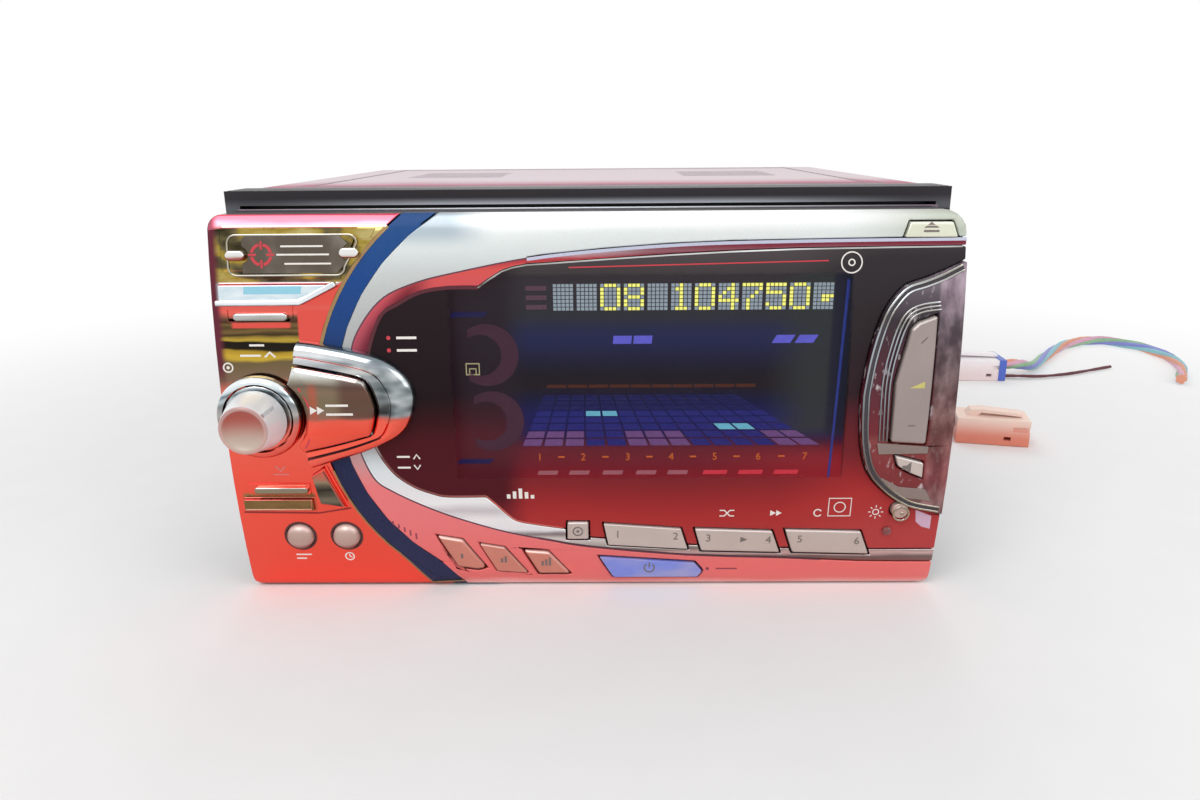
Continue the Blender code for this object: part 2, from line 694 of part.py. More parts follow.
def make_shell():
    """Moulded tray of the face: a bulged front wall with openings, and four sides."""
    shell = slab("panel_shell", panel_outline(), SHELL_FRONT, SHELL_DEEP, "dark_plastic", bend_back=False)
    inner = grown(panel_outline(), -SHELL_WALL)
    hollow = slab("cut_shell", inner, SHELL_FRONT + SHELL_WALL, SHELL_DEEP + OVERRUN, None, bend_back=False)
    boolean(shell, hollow)
    display = grown(box_outline(*scaled(DISPLAY_SHARES)), GAP)
    reach = BULGE + OVERRUN
    boolean(shell, joined("cut_display", [prism(display, -reach, BOARD_DEPTH - GAP)]))
    boolean(shell, key_holes("cut_shell_keys", key_outlines()))
    shaft = circle(KNOB_AT, SHAFT_RADIUS + GAP)
    boolean(shell, joined("cut_shell_shaft", [prism(shaft, -reach, BOARD_DEPTH)]))


def make_left_fascia():
    """Chromed left half: it carries the plaque, the light bars, the ledge and two round keys."""
    edge = stripe_edge(-GAP)
    outline = [*TOP_LEFT, *BOTTOM_LEFT, *edge[::-1]]
    fascia = slab("left_fascia", outline, 0, SKIN_THICK, "red_chrome")
    for name, shares in (("ledge", LEDGE_SHARES), ("lip", LIP_SHARES), ("wedge", WEDGE_SHARES)):
        raised = slab(f"add_{name}", scaled(shares), -LEDGE_PROUD, SKIN_THICK / 2, None)
        boolean(fascia, raised, "UNION")
    windows = [grown(scaled(s), GAP) for s in (PLAQUE_SHARES, UPPER_BAR_SHARES, LOWER_BAR_SHARES)]
    windows.append(circle(KNOB_AT, SHAFT_RADIUS + GAP))
    reach = BULGE + OVERRUN
    boolean(fascia, joined("cut_fascia", [prism(w, -reach, SHELL_FRONT) for w in windows]))
    boolean(fascia, key_holes("cut_fascia_keys", ["auto_key", "clock_key"]))
    slab("plaque", scaled(PLAQUE_SHARES), -TRIM_PROUD, SKIN_THICK, "plaque")
    slab("upper_light_bar", scaled(UPPER_BAR_SHARES), -TRIM_PROUD, SKIN_THICK, "amber")
    slab("lower_light_bar", scaled(LOWER_BAR_SHARES), -TRIM_PROUD, SKIN_THICK, "amber")


def make_stripe():
    inner = stripe_edge(STRIPE_WIDE)
    slab("navy_stripe", [*stripe_edge(0), *inner[::-1]], 0, SKIN_THICK, "navy")


def make_silver_face():
    """Silver shell round the window, shaped like a C that is open to the right."""
    edge = stripe_edge(STRIPE_WIDE + GAP)
    face = slab("silver_face", [*BOTTOM_RIGHT, *TOP_RIGHT, *edge], 0, SKIN_THICK, "silver")
    reach = BULGE + OVERRUN
    window = prism(grown(surround_outline(), GAP), -reach, SHELL_FRONT)
    boolean(face, joined("cut_silver", [window]))
    names = ["open_key", "source_key", "analyser_key_1", "analyser_key_2", "analyser_key_3"]
    boolean(face, key_holes("cut_silver_keys", names))


def make_window():
    """Dished chrome surround, and the smoked lens inside it."""
    reach = BULGE + OVERRUN
    presets = [*PRESET_SHARES, "disc_key"]
    surround = slab("window_surround", surround_outline(), 0, SKIN_THICK, "chrome")
    boolean(surround, joined("cut_surround", [prism(grown(lens_outline(), GAP), -reach, SHELL_FRONT)]))
    boolean(surround, key_holes("cut_surround_keys", presets))
    lens = slab("window_lens", lens_outline(), 0, SKIN_THICK, "smoked")
    pod = grown(smooth(scaled(VOLUME_POD_SHARES), 2), GAP)
    boolean(lens, joined("cut_lens_pod", [prism(pod, -reach, SHELL_FRONT)]))
    boolean(lens, key_holes("cut_lens_keys", [*presets, "dimmer_key"]))


def make_volume_pod():
    """Clear crystal pod at the right, round the volume rocker and the mute key."""
    outline = smooth(scaled(VOLUME_POD_SHARES), 2)
    pod = slab("volume_pod", outline, -VOLUME_POD_PROUD, SKIN_THICK, "chrome")
    boolean(pod, key_holes("cut_volume_pod", ["volume_rocker", "mute_key", "dimmer_key"]))


def make_pod():
    """Chromed pod on the left, open towards the knob, with the paddle in it."""
    pod = slab("pod_bezel", pod_outline(), -POD_PROUD, -GAP, "chrome")
    reach = BULGE + POD_PROUD + OVERRUN
    boolean(pod, joined("cut_pod", [prism(grown(paddle_outline(), ROCK_GAP), -reach, 0)]))
    hinge = in_world(KNOB_AT[0] + PADDLE_HINGE_AWAY, -PADDLE_BACK - BULGE, KNOB_AT[1])
    slab("tune_paddle", paddle_outline(), -PADDLE_PROUD, -PADDLE_BACK, "chrome", origin=hinge)


def make_knob():
    """Push shaft with its flange, the knob that turns on it and the ring that tilts round it."""
    base = BULGE + RING_LIFT
    flange_front = base + RING_THICK - GAP / 3
    shaft_front = KNOB_REACH - SHAFT_END
    knob_back = base + RING_THICK + GAP
    centre = in_world(KNOB_AT[0], 0, KNOB_AT[1])
    turned(
        "encoder_plunger",
        [
            (SHAFT_RADIUS, KEY_BACK), (SHAFT_RADIUS, FLANGE_THICK - flange_front),
            (FLANGE_RADIUS, FLANGE_THICK - flange_front), (FLANGE_RADIUS, -flange_front),
            (SHAFT_RADIUS, -flange_front), (SHAFT_RADIUS, -shaft_front),
        ],
        centre, "Y", "dark_plastic", centre,
    )
    bore = SHAFT_RADIUS + GAP
    front = KNOB_BASE_RADIUS - KNOB_TAPER
    turned(
        "rotary_knob",
        [
            (0, -shaft_front - GAP), (bore, -shaft_front - GAP), (bore, -knob_back - GAP),
            (KNOB_BASE_RADIUS, -knob_back - GAP), (front, KNOB_DISH - KNOB_REACH),
            (front - KNOB_RIM, -KNOB_REACH), (0, KNOB_DISH - KNOB_REACH),
        ],
        centre, "Y", "silver", centre, 32,
    )
    tube_ring(
        "joystick_ring",
        [
            (RING_BORE, -base), (RING_RADIUS, -base), (RING_RADIUS, -base - RING_THICK / 2),
            (RING_RADIUS - RING_CHAMFER, -base - RING_THICK), (RING_BORE, -base - RING_THICK),
        ],
        centre, "Y", "chrome", in_world(KNOB_AT[0], -base - RING_THICK / 2, KNOB_AT[1]), 32,
    )


def make_keys():
    """Push keys that slide into the face, and rockers that turn about their middles."""
    for name, outline in key_outlines().items():
        centre = centre_of(outline)
        depth = -bulge(centre[1])
        finish = "blue_key" if name == "source_key" else "champagne"
        front = ROUND_KEY_PROUD if name in ROUND_KEYS else KEY_PROUD
        if name in ("volume_rocker", "mute_key"):
            front = VOLUME_ROCKER_PROUD
        if name in PRESET_SHARES or name == "volume_rocker":
            depth = ROCKER_AXIS_DEPTH - bulge(centre[1])
        origin = in_world(centre[0], depth, centre[1])
        slab(name, outline, -front, KEY_BACK, finish, bend_back=False, origin=origin)


def make_inside_of_face():
    """Circuit board and display module, between the shell's front wall and its back cover."""
    inner = grown(panel_outline(), -SHELL_WALL - GAP)
    board = prism(inner, BOARD_DEPTH, BOARD_DEPTH + BOARD_THICK)
    settle("panel_board", board, "board")
    outline = box_outline(*scaled(DISPLAY_SHARES))
    settle("display_module", prism(outline, DISPLAY_DEPTH, BOARD_DEPTH - GAP), "display")


def hinge_barrel(side, start, web_low, web_high):
    """A barrel on the hinge line with its web, as a shape across X."""
    low = side * start
    high = side * (start + BARREL_LONG)
    centre = (HINGE_DEPTH, PANEL_LIFT + HINGE_RISE)
    ring = prism(circle(centre, BARREL_RADIUS, 20), low, high, along_x)
    web = prism(box_outline(web_low, web_high), low, high, along_x)
    return ring, web


def rod_hole(name):
    centre = (HINGE_DEPTH, PANEL_LIFT + HINGE_RISE)
    half = HINGE_SPREAD + BARREL_LONG + ROD_TAIL + OVERRUN
    return settle(name, prism(circle(centre, ROD_RADIUS + GAP, 16), -half, half, along_x), None)


def make_back_cover():
    """Flat rear wall of the face, with two hinge barrels and the latch slot."""
    back = SHELL_DEEP + GAP
    outline = [(-HALF, COVER_RISE), (HALF, COVER_RISE), *TOP_RIGHT, *TOP_LEFT]
    cover = settle("panel_back_cover", prism(outline, back, back + COVER_THICK), "dark_plastic")
    for i, side in enumerate((-1, 1)):
        axis = PANEL_LIFT + HINGE_RISE
        web_high = (back + COVER_THICK, PANEL_LIFT + COVER_RISE + OVERRUN)
        start = HINGE_SPREAD - BARREL_LONG - GAP
        for k, shape in enumerate(hinge_barrel(side, start, (back, axis), web_high)):
            boolean(cover, settle(f"add_cover_barrel_{i}_{k}", shape, None), "UNION")
    boolean(cover, rod_hole("cut_cover_rod"))
    half = LATCH_WIDE / 2 + LATCH_ROOM
    low, high = LATCH_RISE - LATCH_ROOM, LATCH_RISE + LATCH_THICK + LATCH_ROOM
    slot = prism(box_outline((-half, low), (half, high)), back - OVERRUN, back + COVER_THICK + OVERRUN)
    boolean(cover, settle("cut_latch_slot", slot, None))


def make_nose():
    """Black frame round the front of the chassis, with the ears that hold the hinge rod."""
    half = NOSE_WIDE / 2
    outer = box_outline((-half, 0), (half, NOSE_HIGH))
    back = NOSE_DEPTH + NOSE_DEEP
    nose = settle("nose_frame", prism(outer, NOSE_DEPTH, back, upright), "black_plastic")
    inner = box_outline((NOSE_WALL - half, NOSE_WALL), (half - NOSE_WALL, NOSE_HIGH - NOSE_WALL))
    mouth = prism(inner, NOSE_DEPTH - OVERRUN, back + OVERRUN, upright)
    boolean(nose, settle("cut_nose_mouth", mouth, None))
    step = box_outline((-half - OVERRUN, -OVERRUN), (half + OVERRUN, NOSE_RECESS_HIGH))
    cutter = prism(step, NOSE_DEPTH - OVERRUN, NOSE_DEPTH + NOSE_RECESS, upright)
    boolean(nose, settle("cut_nose_step", cutter, None))
    axis = PANEL_LIFT + HINGE_RISE
    for i, side in enumerate((-1, 1)):
        web_low = (HINGE_DEPTH, axis - EAR_WEB_DROP)
        web_high = (FASCIA_DEPTH - GAP, axis + BARREL_RADIUS)
        for k, shape in enumerate(hinge_barrel(side, HINGE_SPREAD, web_low, web_high)):
            boolean(nose, settle(f"add_ear_{i}_{k}", shape, None), "UNION")
    boolean(nose, rod_hole("cut_nose_rod"))
    long = HINGE_SPREAD + BARREL_LONG + ROD_TAIL
    centre = (0, FACE_Y + HINGE_DEPTH, axis)
    turned("hinge_rod", [(ROD_RADIUS, -long), (ROD_RADIUS, long)], centre, "X", "steel", centre, 16)


def make_fascia():
    """Plate behind the face with the two slots, their eject keys and the latch tongue."""
    back = FASCIA_DEPTH + FASCIA_THICK
    top = NOSE_HIGH - NOSE_WALL - GAP
    outline = box_outline((-FASCIA_HALF, NOSE_WALL + GAP), (FASCIA_HALF, top))
    plate = settle("inner_fascia", prism(outline, FASCIA_DEPTH, back, upright), "black_plastic")
    holes = []
    for wide, high, rise in (
        (DISC_SLOT_WIDE, DISC_SLOT_HIGH, DISC_RISE),
        (CARTRIDGE_SLOT_WIDE, CARTRIDGE_SLOT_HIGH, CARTRIDGE_RISE),
    ):
        holes.append(box_outline((-wide / 2, rise - high / 2), (wide / 2, rise + high / 2)))
    for name, x, rise in (
        ("disc_eject_key", DISC_EJECT_X, DISC_RISE),
        ("cartridge_eject_key", CARTRIDGE_EJECT_X, CARTRIDGE_RISE),
    ):
        low = (x - EJECT_KEY_WIDE / 2, rise - EJECT_KEY_HIGH / 2)
        high = (x + EJECT_KEY_WIDE / 2, rise + EJECT_KEY_HIGH / 2)
        holes.append(grown(box_outline(low, high), GAP))
        front, rear = FASCIA_DEPTH - EJECT_KEY_PROUD, back + EJECT_KEY_BACK
        origin = (x, FACE_Y + FASCIA_DEPTH, rise)
        block(name, (low[0], front, low[1]), (high[0], rear, high[1]), "dark_plastic", origin)
    cutter = joined("cut_slots", [prism(h, FASCIA_DEPTH - OVERRUN, back + OVERRUN, upright) for h in holes])
    boolean(plate, cutter)
    low = (-LATCH_WIDE / 2, NOSE_DEPTH - LATCH_REACH, PANEL_LIFT + LATCH_RISE)
    high = (LATCH_WIDE / 2, FASCIA_DEPTH - GAP, PANEL_LIFT + LATCH_RISE + LATCH_THICK)
    block("latch_tongue", low, high, "steel")


def vent_row(start, wide, pitch, count):
    """Middle depth of each slot in a row that begins at start behind the sleeve's front."""
    return [TRAY_DEPTH + start + wide / 2 + k * pitch for k in range(count)]


def vent_outline(low, high, depth, wide):
    """A slot with round ends from low to high, lying across the depth axis."""
    radius = wide / 2
    ends = ((high - radius, depth), (low + radius, depth))
    return [*arc(ends[0], radius, -90, 90, VENT_END_STEPS), *arc(ends[1], radius, 90, 270, VENT_END_STEPS)]


def level_vents(name, edge, long, wide, depths, low, high):
    """Cutter for two columns of slots in a level sheet, each column edge in from a side."""
    inner = TRAY_HALF - edge - long
    columns = ((inner, inner + long), (-inner - long, -inner))
    slots = [vent_outline(*column, depth, wide) for column in columns for depth in depths]
    return joined(name, [prism(slot, low, high, on_ground) for slot in slots])


def side_vents():
    """Cutter for a row of upright slots in each side of the tray."""
    depths = vent_row(SIDE_VENT_START, VENT_WIDE, VENT_PITCH, SIDE_VENT_COUNT)
    walls = ((-TRAY_HALF - OVERRUN, OVERRUN - TRAY_INNER), (TRAY_INNER - OVERRUN, TRAY_HALF + OVERRUN))
    top = SIDE_VENT_RISE + SIDE_VENT_LONG
    slots = [vent_outline(SIDE_VENT_RISE, top, depth, VENT_WIDE) for depth in depths]
    return joined("cut_side_vents", [prism(slot, *wall, on_side) for slot in slots for wall in walls])


def make_chassis():
    """Folded steel tray with its openings, and the flanged cover that stands on its edges."""
    joint = CHASSIS_HIGH - COVER_FLANGE
    low = (-TRAY_HALF, TRAY_DEPTH, 0)
    tray = block("chassis_tray", low, (TRAY_HALF, REAR_DEPTH, joint - GAP), "steel")
    low = (-TRAY_INNER, TRAY_DEPTH - OVERRUN, SHEET)
    boolean(tray, block("cut_tray", low, (TRAY_INNER, REAR_DEPTH - SHEET, joint + OVERRUN), None))
    socket_low = (SOCKET_X - SOCKET_WIDE / 2, SOCKET_RISE)
    socket_high = (SOCKET_X + SOCKET_WIDE / 2, SOCKET_RISE + SOCKET_HIGH)
    holes = [
        grown(box_outline(socket_low, socket_high), GAP),
        circle((AERIAL_X, AERIAL_RISE), AERIAL_RADIUS + GAP, 20),
    ]
    rear = [prism(h, REAR_DEPTH - SHEET - OVERRUN, REAR_DEPTH + OVERRUN, upright) for h in holes]
    boolean(tray, joined("cut_rear", rear))
    boolean(tray, side_vents())
    depths = vent_row(FLOOR_VENT_START, FLOOR_VENT_WIDE, FLOOR_VENT_PITCH, FLOOR_VENT_COUNT)
    floor = ("cut_floor_vents", FLOOR_VENT_EDGE, FLOOR_VENT_LONG, FLOOR_VENT_WIDE, depths)
    boolean(tray, level_vents(*floor, -OVERRUN, SHEET + OVERRUN))
    high = (TRAY_HALF, REAR_DEPTH, CHASSIS_HIGH + COVER_SHEET)
    cover = block("top_cover", (-TRAY_HALF, TRAY_DEPTH, joint), high, "steel")
    inner = TRAY_HALF - COVER_SHEET
    low = (-inner, TRAY_DEPTH - OVERRUN, joint - OVERRUN)
    boolean(cover, block("cut_cover", low, (inner, REAR_DEPTH - COVER_SHEET, CHASSIS_HIGH), None))
    depths = vent_row(COVER_VENT_START, VENT_WIDE, VENT_PITCH, COVER_VENT_COUNT)
    roof = ("cut_cover_vents", COVER_VENT_EDGE, COVER_VENT_LONG, VENT_WIDE, depths)
    boolean(cover, level_vents(*roof, CHASSIS_HIGH - OVERRUN, CHASSIS_HIGH + COVER_SHEET + OVERRUN))


def make_rear():
    """Heat sink, connector block and aerial socket on the rear wall."""
    front = REAR_DEPTH + GAP
    back = REAR_DEPTH + REAR_PROUD
    low = (HEAT_SINK_LEFT, front, HEAT_SINK_RISE)
    high = (HEAT_SINK_LEFT + HEAT_SINK_WIDE, back, HEAT_SINK_RISE + HEAT_SINK_HIGH)
    sink = block("heat_sink", low, high, "cast")
    pitch = (HEAT_SINK_WIDE - FIN_THICK) / (FIN_COUNT - 1)
    grooves = []
    for i in range(FIN_COUNT - 1):
        start = HEAT_SINK_LEFT + FIN_THICK + i * pitch
        low = (start, HEAT_SINK_RISE - OVERRUN)
        high = (start + pitch - FIN_THICK, HEAT_SINK_RISE + HEAT_SINK_HIGH + OVERRUN)
        grooves.append(prism(box_outline(low, high), front + HEAT_SINK_BASE, back + OVERRUN, upright))
    boolean(sink, joined("cut_fins", grooves))
    low = (SOCKET_X - SOCKET_WIDE / 2, REAR_DEPTH - SOCKET_INSIDE, SOCKET_RISE)
    high = (SOCKET_X + SOCKET_WIDE / 2, back, SOCKET_RISE + SOCKET_HIGH)
    block("rear_socket", low, high, "black_plastic")
    centre = (AERIAL_X, FACE_Y + REAR_DEPTH, AERIAL_RISE)
    turned(
        "aerial_socket",
        [
            (AERIAL_RADIUS, -AERIAL_INSIDE), (AERIAL_RADIUS, REAR_PROUD),
            (AERIAL_BORE, REAR_PROUD), (AERIAL_BORE, 0), (0, 0),
        ],
        centre, "Y", "zinc", centre, 20,
    )


def make_disc_deck():
    """Shelf with the feed roller, the turntable on its motor, and the pickup on two rails."""
    start = TRAY_DEPTH + DECK_START
    top = DECK_RISE + DECK_SHEET
    edge = TRAY_INNER - GAP
    deck = block("disc_deck", (-edge, start, DECK_RISE), (edge, start + DECK_DEEP, top), "zinc")
    roller_depth = TRAY_DEPTH + ROLLER_SET_BACK
    roller_rise = DISC_RISE - DISC_SLOT_HIGH / 2 - GAP - ROLLER_RADIUS
    half = ROLLER_LONG / 2
    pin = half + ROLLER_PIN_LONG
    centre = (0, FACE_Y + roller_depth, roller_rise)
    turned(
        "loading_roller",
        [
            (ROLLER_PIN_RADIUS, -pin), (ROLLER_PIN_RADIUS, -half), (ROLLER_RADIUS, -half),
            (ROLLER_RADIUS, half), (ROLLER_PIN_RADIUS, half), (ROLLER_PIN_RADIUS, pin),
        ],
        centre, "X", "rubber", centre, 20,
    )
    for i, side in enumerate((-1, 1)):
        inner = side * (half + GAP)
        outer = side * (half + GAP + BEARING_WIDE)
        low = (min(inner, outer), roller_depth - BEARING_DEEP / 2, DECK_RISE + DECK_SHEET / 2)
        high = (max(inner, outer), roller_depth + BEARING_DEEP / 2, roller_rise + BEARING_TOP)
        boolean(deck, block(f"add_bearing_{i}", low, high, None), "UNION")
    hole = prism(circle((roller_depth, roller_rise), ROLLER_PIN_RADIUS + GAP, 16), -edge, edge, along_x)
    boolean(deck, settle("cut_bearings", hole, None))
    spindle = TRAY_DEPTH + SPINDLE_SET_BACK
    foot = top + GAP
    centre = (0, FACE_Y + spindle, foot)
    turned("spindle_motor", [(MOTOR_RADIUS, 0), (MOTOR_RADIUS, MOTOR_HIGH)], centre, "Z", "steel")
    table = foot + MOTOR_HIGH + GAP
    centre = (0, FACE_Y + spindle, table)
    turned(
        "disc_turntable",
        [
            (TURNTABLE_RADIUS, 0), (TURNTABLE_RADIUS, TURNTABLE_THICK), (HUB_RADIUS, TURNTABLE_THICK),
            (HUB_RADIUS, TURNTABLE_THICK + HUB_HIGH), (0, TURNTABLE_THICK + HUB_HIGH),
        ],
        centre, "Z", "dark_plastic", centre,
    )
    make_pickup(deck, spindle + TURNTABLE_RADIUS + SLED_GAP_TO_TABLE, foot)


def make_pickup(deck, sled_front, foot):
    """Pickup sled on two rails, whose ends are held in blocks of the deck."""
    rail_start = sled_front - RAIL_BLOCK
    rail_end = sled_front + SLED_DEEP + SLED_TRAVEL + RAIL_BLOCK
    rise = foot + RAIL_RISE
    low = (-SLED_WIDE / 2, sled_front, foot + GAP)
    high = (SLED_WIDE / 2, sled_front + SLED_DEEP, foot + SLED_HIGH + RAIL_RADIUS)
    origin = (0, FACE_Y + sled_front + SLED_DEEP / 2, rise)
    sled = block("laser_sled", low, high, "dark_plastic", origin)
    lens_at = (0, FACE_Y + sled_front + SLED_DEEP / 2, high[2])
    eye = turned("add_eye", [(LENS_RADIUS, -LENS_HIGH), (LENS_RADIUS, LENS_HIGH)], lens_at, "Z", None)
    boolean(sled, eye, "UNION")
    bores = []
    for i, side in enumerate((-1, 1)):
        x = side * RAIL_SPREAD
        centre = (x, FACE_Y, rise)
        ends = [(RAIL_RADIUS, rail_start), (RAIL_RADIUS, rail_end)]
        turned(("sled_rail_left", "sled_rail_right")[i], ends, centre, "Y", "steel", None, 12)
        bores.append(circle((x, rise), RAIL_RADIUS + GAP, 12))
        for k, depth in enumerate((rail_start, rail_end - RAIL_BLOCK + GAP)):
            low = (x - RAIL_BLOCK / 2, depth, DECK_RISE + DECK_SHEET / 2)
            high = (x + RAIL_BLOCK / 2, depth + RAIL_BLOCK - GAP, rise + RAIL_BLOCK / 2)
            boolean(deck, block(f"add_rail_block_{i}_{k}", low, high, None), "UNION")
    for name, piece in (("cut_sled_bores", sled), ("cut_rail_bores", deck)):
        shapes = [prism(b, rail_start - OVERRUN, rail_end + OVERRUN, upright) for b in bores]
        boolean(piece, joined(name, shapes))


def make_cartridge_deck():
    """Box that takes the cartridge, open to the front, on a shelf between the sides."""
    start = TRAY_DEPTH + DECK_START
    edge = TRAY_INNER - GAP
    back = start + CARTRIDGE_DECK_DEEP
    low = (-edge, start, CARTRIDGE_DECK_RISE)
    deck = block("cartridge_deck", low, (edge, back, CARTRIDGE_DECK_RISE + DECK_SHEET), "zinc")
    half = CARTRIDGE_DECK_WIDE / 2
    low = (-half, start, CARTRIDGE_DECK_RISE)
    high = (half, back, CARTRIDGE_DECK_RISE + CARTRIDGE_DECK_HIGH)
    boolean(deck, block("add_cartridge_box", low, high, None), "UNION")
    low = (CARTRIDGE_WALL - half, start - OVERRUN, CARTRIDGE_DECK_RISE + CARTRIDGE_WALL)
    top = CARTRIDGE_DECK_RISE + CARTRIDGE_DECK_HIGH - CARTRIDGE_WALL
    high = (half - CARTRIDGE_WALL, back - CARTRIDGE_WALL, top)
    boolean(deck, block("cut_cartridge_box", low, high, None))


def make_main_board():
    """Main circuit board between the tray's sides, with the shielded tuner on it."""
    edge = TRAY_INNER - GAP
    start = TRAY_DEPTH + MAIN_BOARD_START
    back = REAR_DEPTH - SOCKET_INSIDE - MAIN_BOARD_END
    top = MAIN_BOARD_RISE + MAIN_BOARD_THICK
    block("main_board", (-edge, start, MAIN_BOARD_RISE), (edge, back, top), "board")
    low = (TUNER_X - TUNER_WIDE / 2, back - TUNER_DEEP, top + GAP)
    high = (TUNER_X + TUNER_WIDE / 2, back, top + GAP + TUNER_HIGH)
    block("tuner_can", low, high, "zinc")


def lead(name, route, wide, steps):
    """A round lead along a smooth curve through its route's points, with straight ends."""
    curve = bpy.data.curves.new(name, "CURVE")
    curve.dimensions = "3D"
    points = smooth(route, steps)
    points = [points[0], *points[steps:-steps], points[-1]]
    spline = curve.splines.new("POLY")
    spline.points.add(len(points) - 1)
    for point, (x, depth, z) in zip(spline.points, points):
        point.co = (x, FACE_Y + depth, max(z, wide / 2), 1)
    curve.bevel_depth = wide / 2
    curve.bevel_resolution = 2
    curve.use_fill_caps = True
    curve.materials.append(finish_of("wire"))
    piece = bpy.data.objects.new(name, curve)
    bpy.context.scene.collection.objects.link(piece)


def beside(at, turn, along, across):
    """A point of a turned plug's own frame, as x and depth."""
    cosine, sine = math.cos(math.radians(turn)), math.sin(math.radians(turn))
    return (at[0] + along * cosine - across * sine, at[1] + along * sine + across * cosine)


def plug(name, size, at, turn):
    """A connector that lies on the ground, turned a little about the vertical."""
    corners = box_outline((-size[0] / 2, -size[1] / 2), (size[0] / 2, size[1] / 2))
    settle(name, prism([beside(at, turn, *c) for c in corners], 0, size[2], on_ground), "white_plastic")


def plug_end(size, at, turn, side, across=0, rise=None):
    """The two points where a lead meets a plug's end face, the outer one first."""
    places = [beside(at, turn, side * (size[0] / 2 + reach), across) for reach in (LEAD_STRAIGHT, GAP)]
    return [(*place, rise or size[2] / 2) for place in places]


def socket_end(aside):
    """The two points where a lead leaves the rear socket, aside from its middle."""
    rear = REAR_DEPTH + REAR_PROUD
    return [(SOCKET_X + aside, rear + reach, LEAD_EXIT_RISE) for reach in (GAP, LEAD_STRAIGHT)]


def make_leads():
    """Leads and connectors that lie beside the chassis, from its rear socket."""
    end_a = plug_end(PLUG_A_SIZE, PLUG_A_AT, PLUG_A_TURN, -1)
    lead("lead_a", [*socket_end(LEAD_A_ASIDE), *LEAD_A_ROUTE, *end_a], LEAD_WIDE, 2)
    plug("plug_a", PLUG_A_SIZE, PLUG_A_AT, PLUG_A_TURN)
    start = plug_end(PLUG_A_SIZE, PLUG_A_AT, PLUG_A_TURN, 1)[::-1]
    lead("harness", [*start, *HARNESS_ROUTE], HARNESS_WIDE, 2)
    end_b = plug_end(PLUG_B_SIZE, PLUG_B_AT, PLUG_B_TURN, -1)
    lead("lead_b", [*socket_end(LEAD_B_ASIDE), *LEAD_B_ROUTE, *end_b], LEAD_WIDE, 2)
    plug("plug_b", PLUG_B_SIZE, PLUG_B_AT, PLUG_B_TURN)
    start = plug_end(PLUG_A_SIZE, PLUG_A_AT, PLUG_A_TURN, 1, THIN_LEAD_ASIDE, THIN_LEAD_WIDE)[::-1]
    lead("thin_lead", [*start, *THIN_LEAD_ROUTE], THIN_LEAD_WIDE, 3)


clear_scene()
make_shell()
make_left_fascia()
make_stripe()
make_silver_face()
make_window()
make_volume_pod()
make_pod()
make_knob()
make_keys()
make_inside_of_face()
make_back_cover()
make_nose()
make_fascia()
make_chassis()
make_rear()
make_disc_deck()
make_cartridge_deck()
make_main_board()
make_leads()
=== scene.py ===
"""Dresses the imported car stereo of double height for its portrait.

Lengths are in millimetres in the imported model's frame until a piece is settled, which turns
its mesh into metres. Face places are x from the middle of the face and z from its bottom edge.
Colours are written as a screen shows them, 0 to 255.
"""

import itertools
import math

import bmesh
import bpy
from mathutils import Matrix, Vector


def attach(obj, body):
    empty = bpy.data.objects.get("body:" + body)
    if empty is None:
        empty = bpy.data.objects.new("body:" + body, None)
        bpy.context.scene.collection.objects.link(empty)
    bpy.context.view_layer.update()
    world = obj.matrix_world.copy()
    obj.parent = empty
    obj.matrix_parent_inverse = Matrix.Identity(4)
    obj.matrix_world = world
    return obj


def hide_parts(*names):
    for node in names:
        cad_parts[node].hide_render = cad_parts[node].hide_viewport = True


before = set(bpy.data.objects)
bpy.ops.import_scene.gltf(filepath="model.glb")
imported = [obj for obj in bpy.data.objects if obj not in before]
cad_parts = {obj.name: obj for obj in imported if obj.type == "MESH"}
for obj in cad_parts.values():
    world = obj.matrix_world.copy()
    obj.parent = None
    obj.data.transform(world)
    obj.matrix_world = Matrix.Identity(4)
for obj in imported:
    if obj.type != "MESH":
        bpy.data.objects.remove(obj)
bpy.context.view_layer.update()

# Camera
# It stands about 0.2 m in front of the face and a little above its top edge, looking down,
# so the knob at the left looms large and the cover of the chassis narrows to the back.
CAMERA_PLACE = (0.0053, -0.2909, 0.1137)
CAMERA_TURN, CAMERA_TILT, CAMERA_ROLL = (math.radians(a) for a in (-0.60, 16.53, 0.46))
CAMERA_LENS, CAMERA_SENSOR, CAMERA_NEAR = 26.58, 36, 0.01
level = Vector((math.cos(CAMERA_TURN), -math.sin(CAMERA_TURN), 0))
ahead = Vector((0, 0, -math.sin(CAMERA_TILT)))
ahead += Vector((math.sin(CAMERA_TURN), math.cos(CAMERA_TURN), 0)) * math.cos(CAMERA_TILT)
downward = ahead.cross(level)
across = level * math.cos(CAMERA_ROLL) + downward * math.sin(CAMERA_ROLL)
upward = level * math.sin(CAMERA_ROLL) - downward * math.cos(CAMERA_ROLL)
camera = bpy.data.objects.new("camera", bpy.data.cameras.new("camera"))
camera.data.lens = CAMERA_LENS
camera.data.sensor_width = CAMERA_SENSOR
camera.data.clip_start = CAMERA_NEAR
turned_to = Matrix((across, upward, -ahead)).transposed().to_4x4()
camera.matrix_world = Matrix.Translation(CAMERA_PLACE) @ turned_to
bpy.context.scene.collection.objects.link(camera)
bpy.context.scene.camera = camera


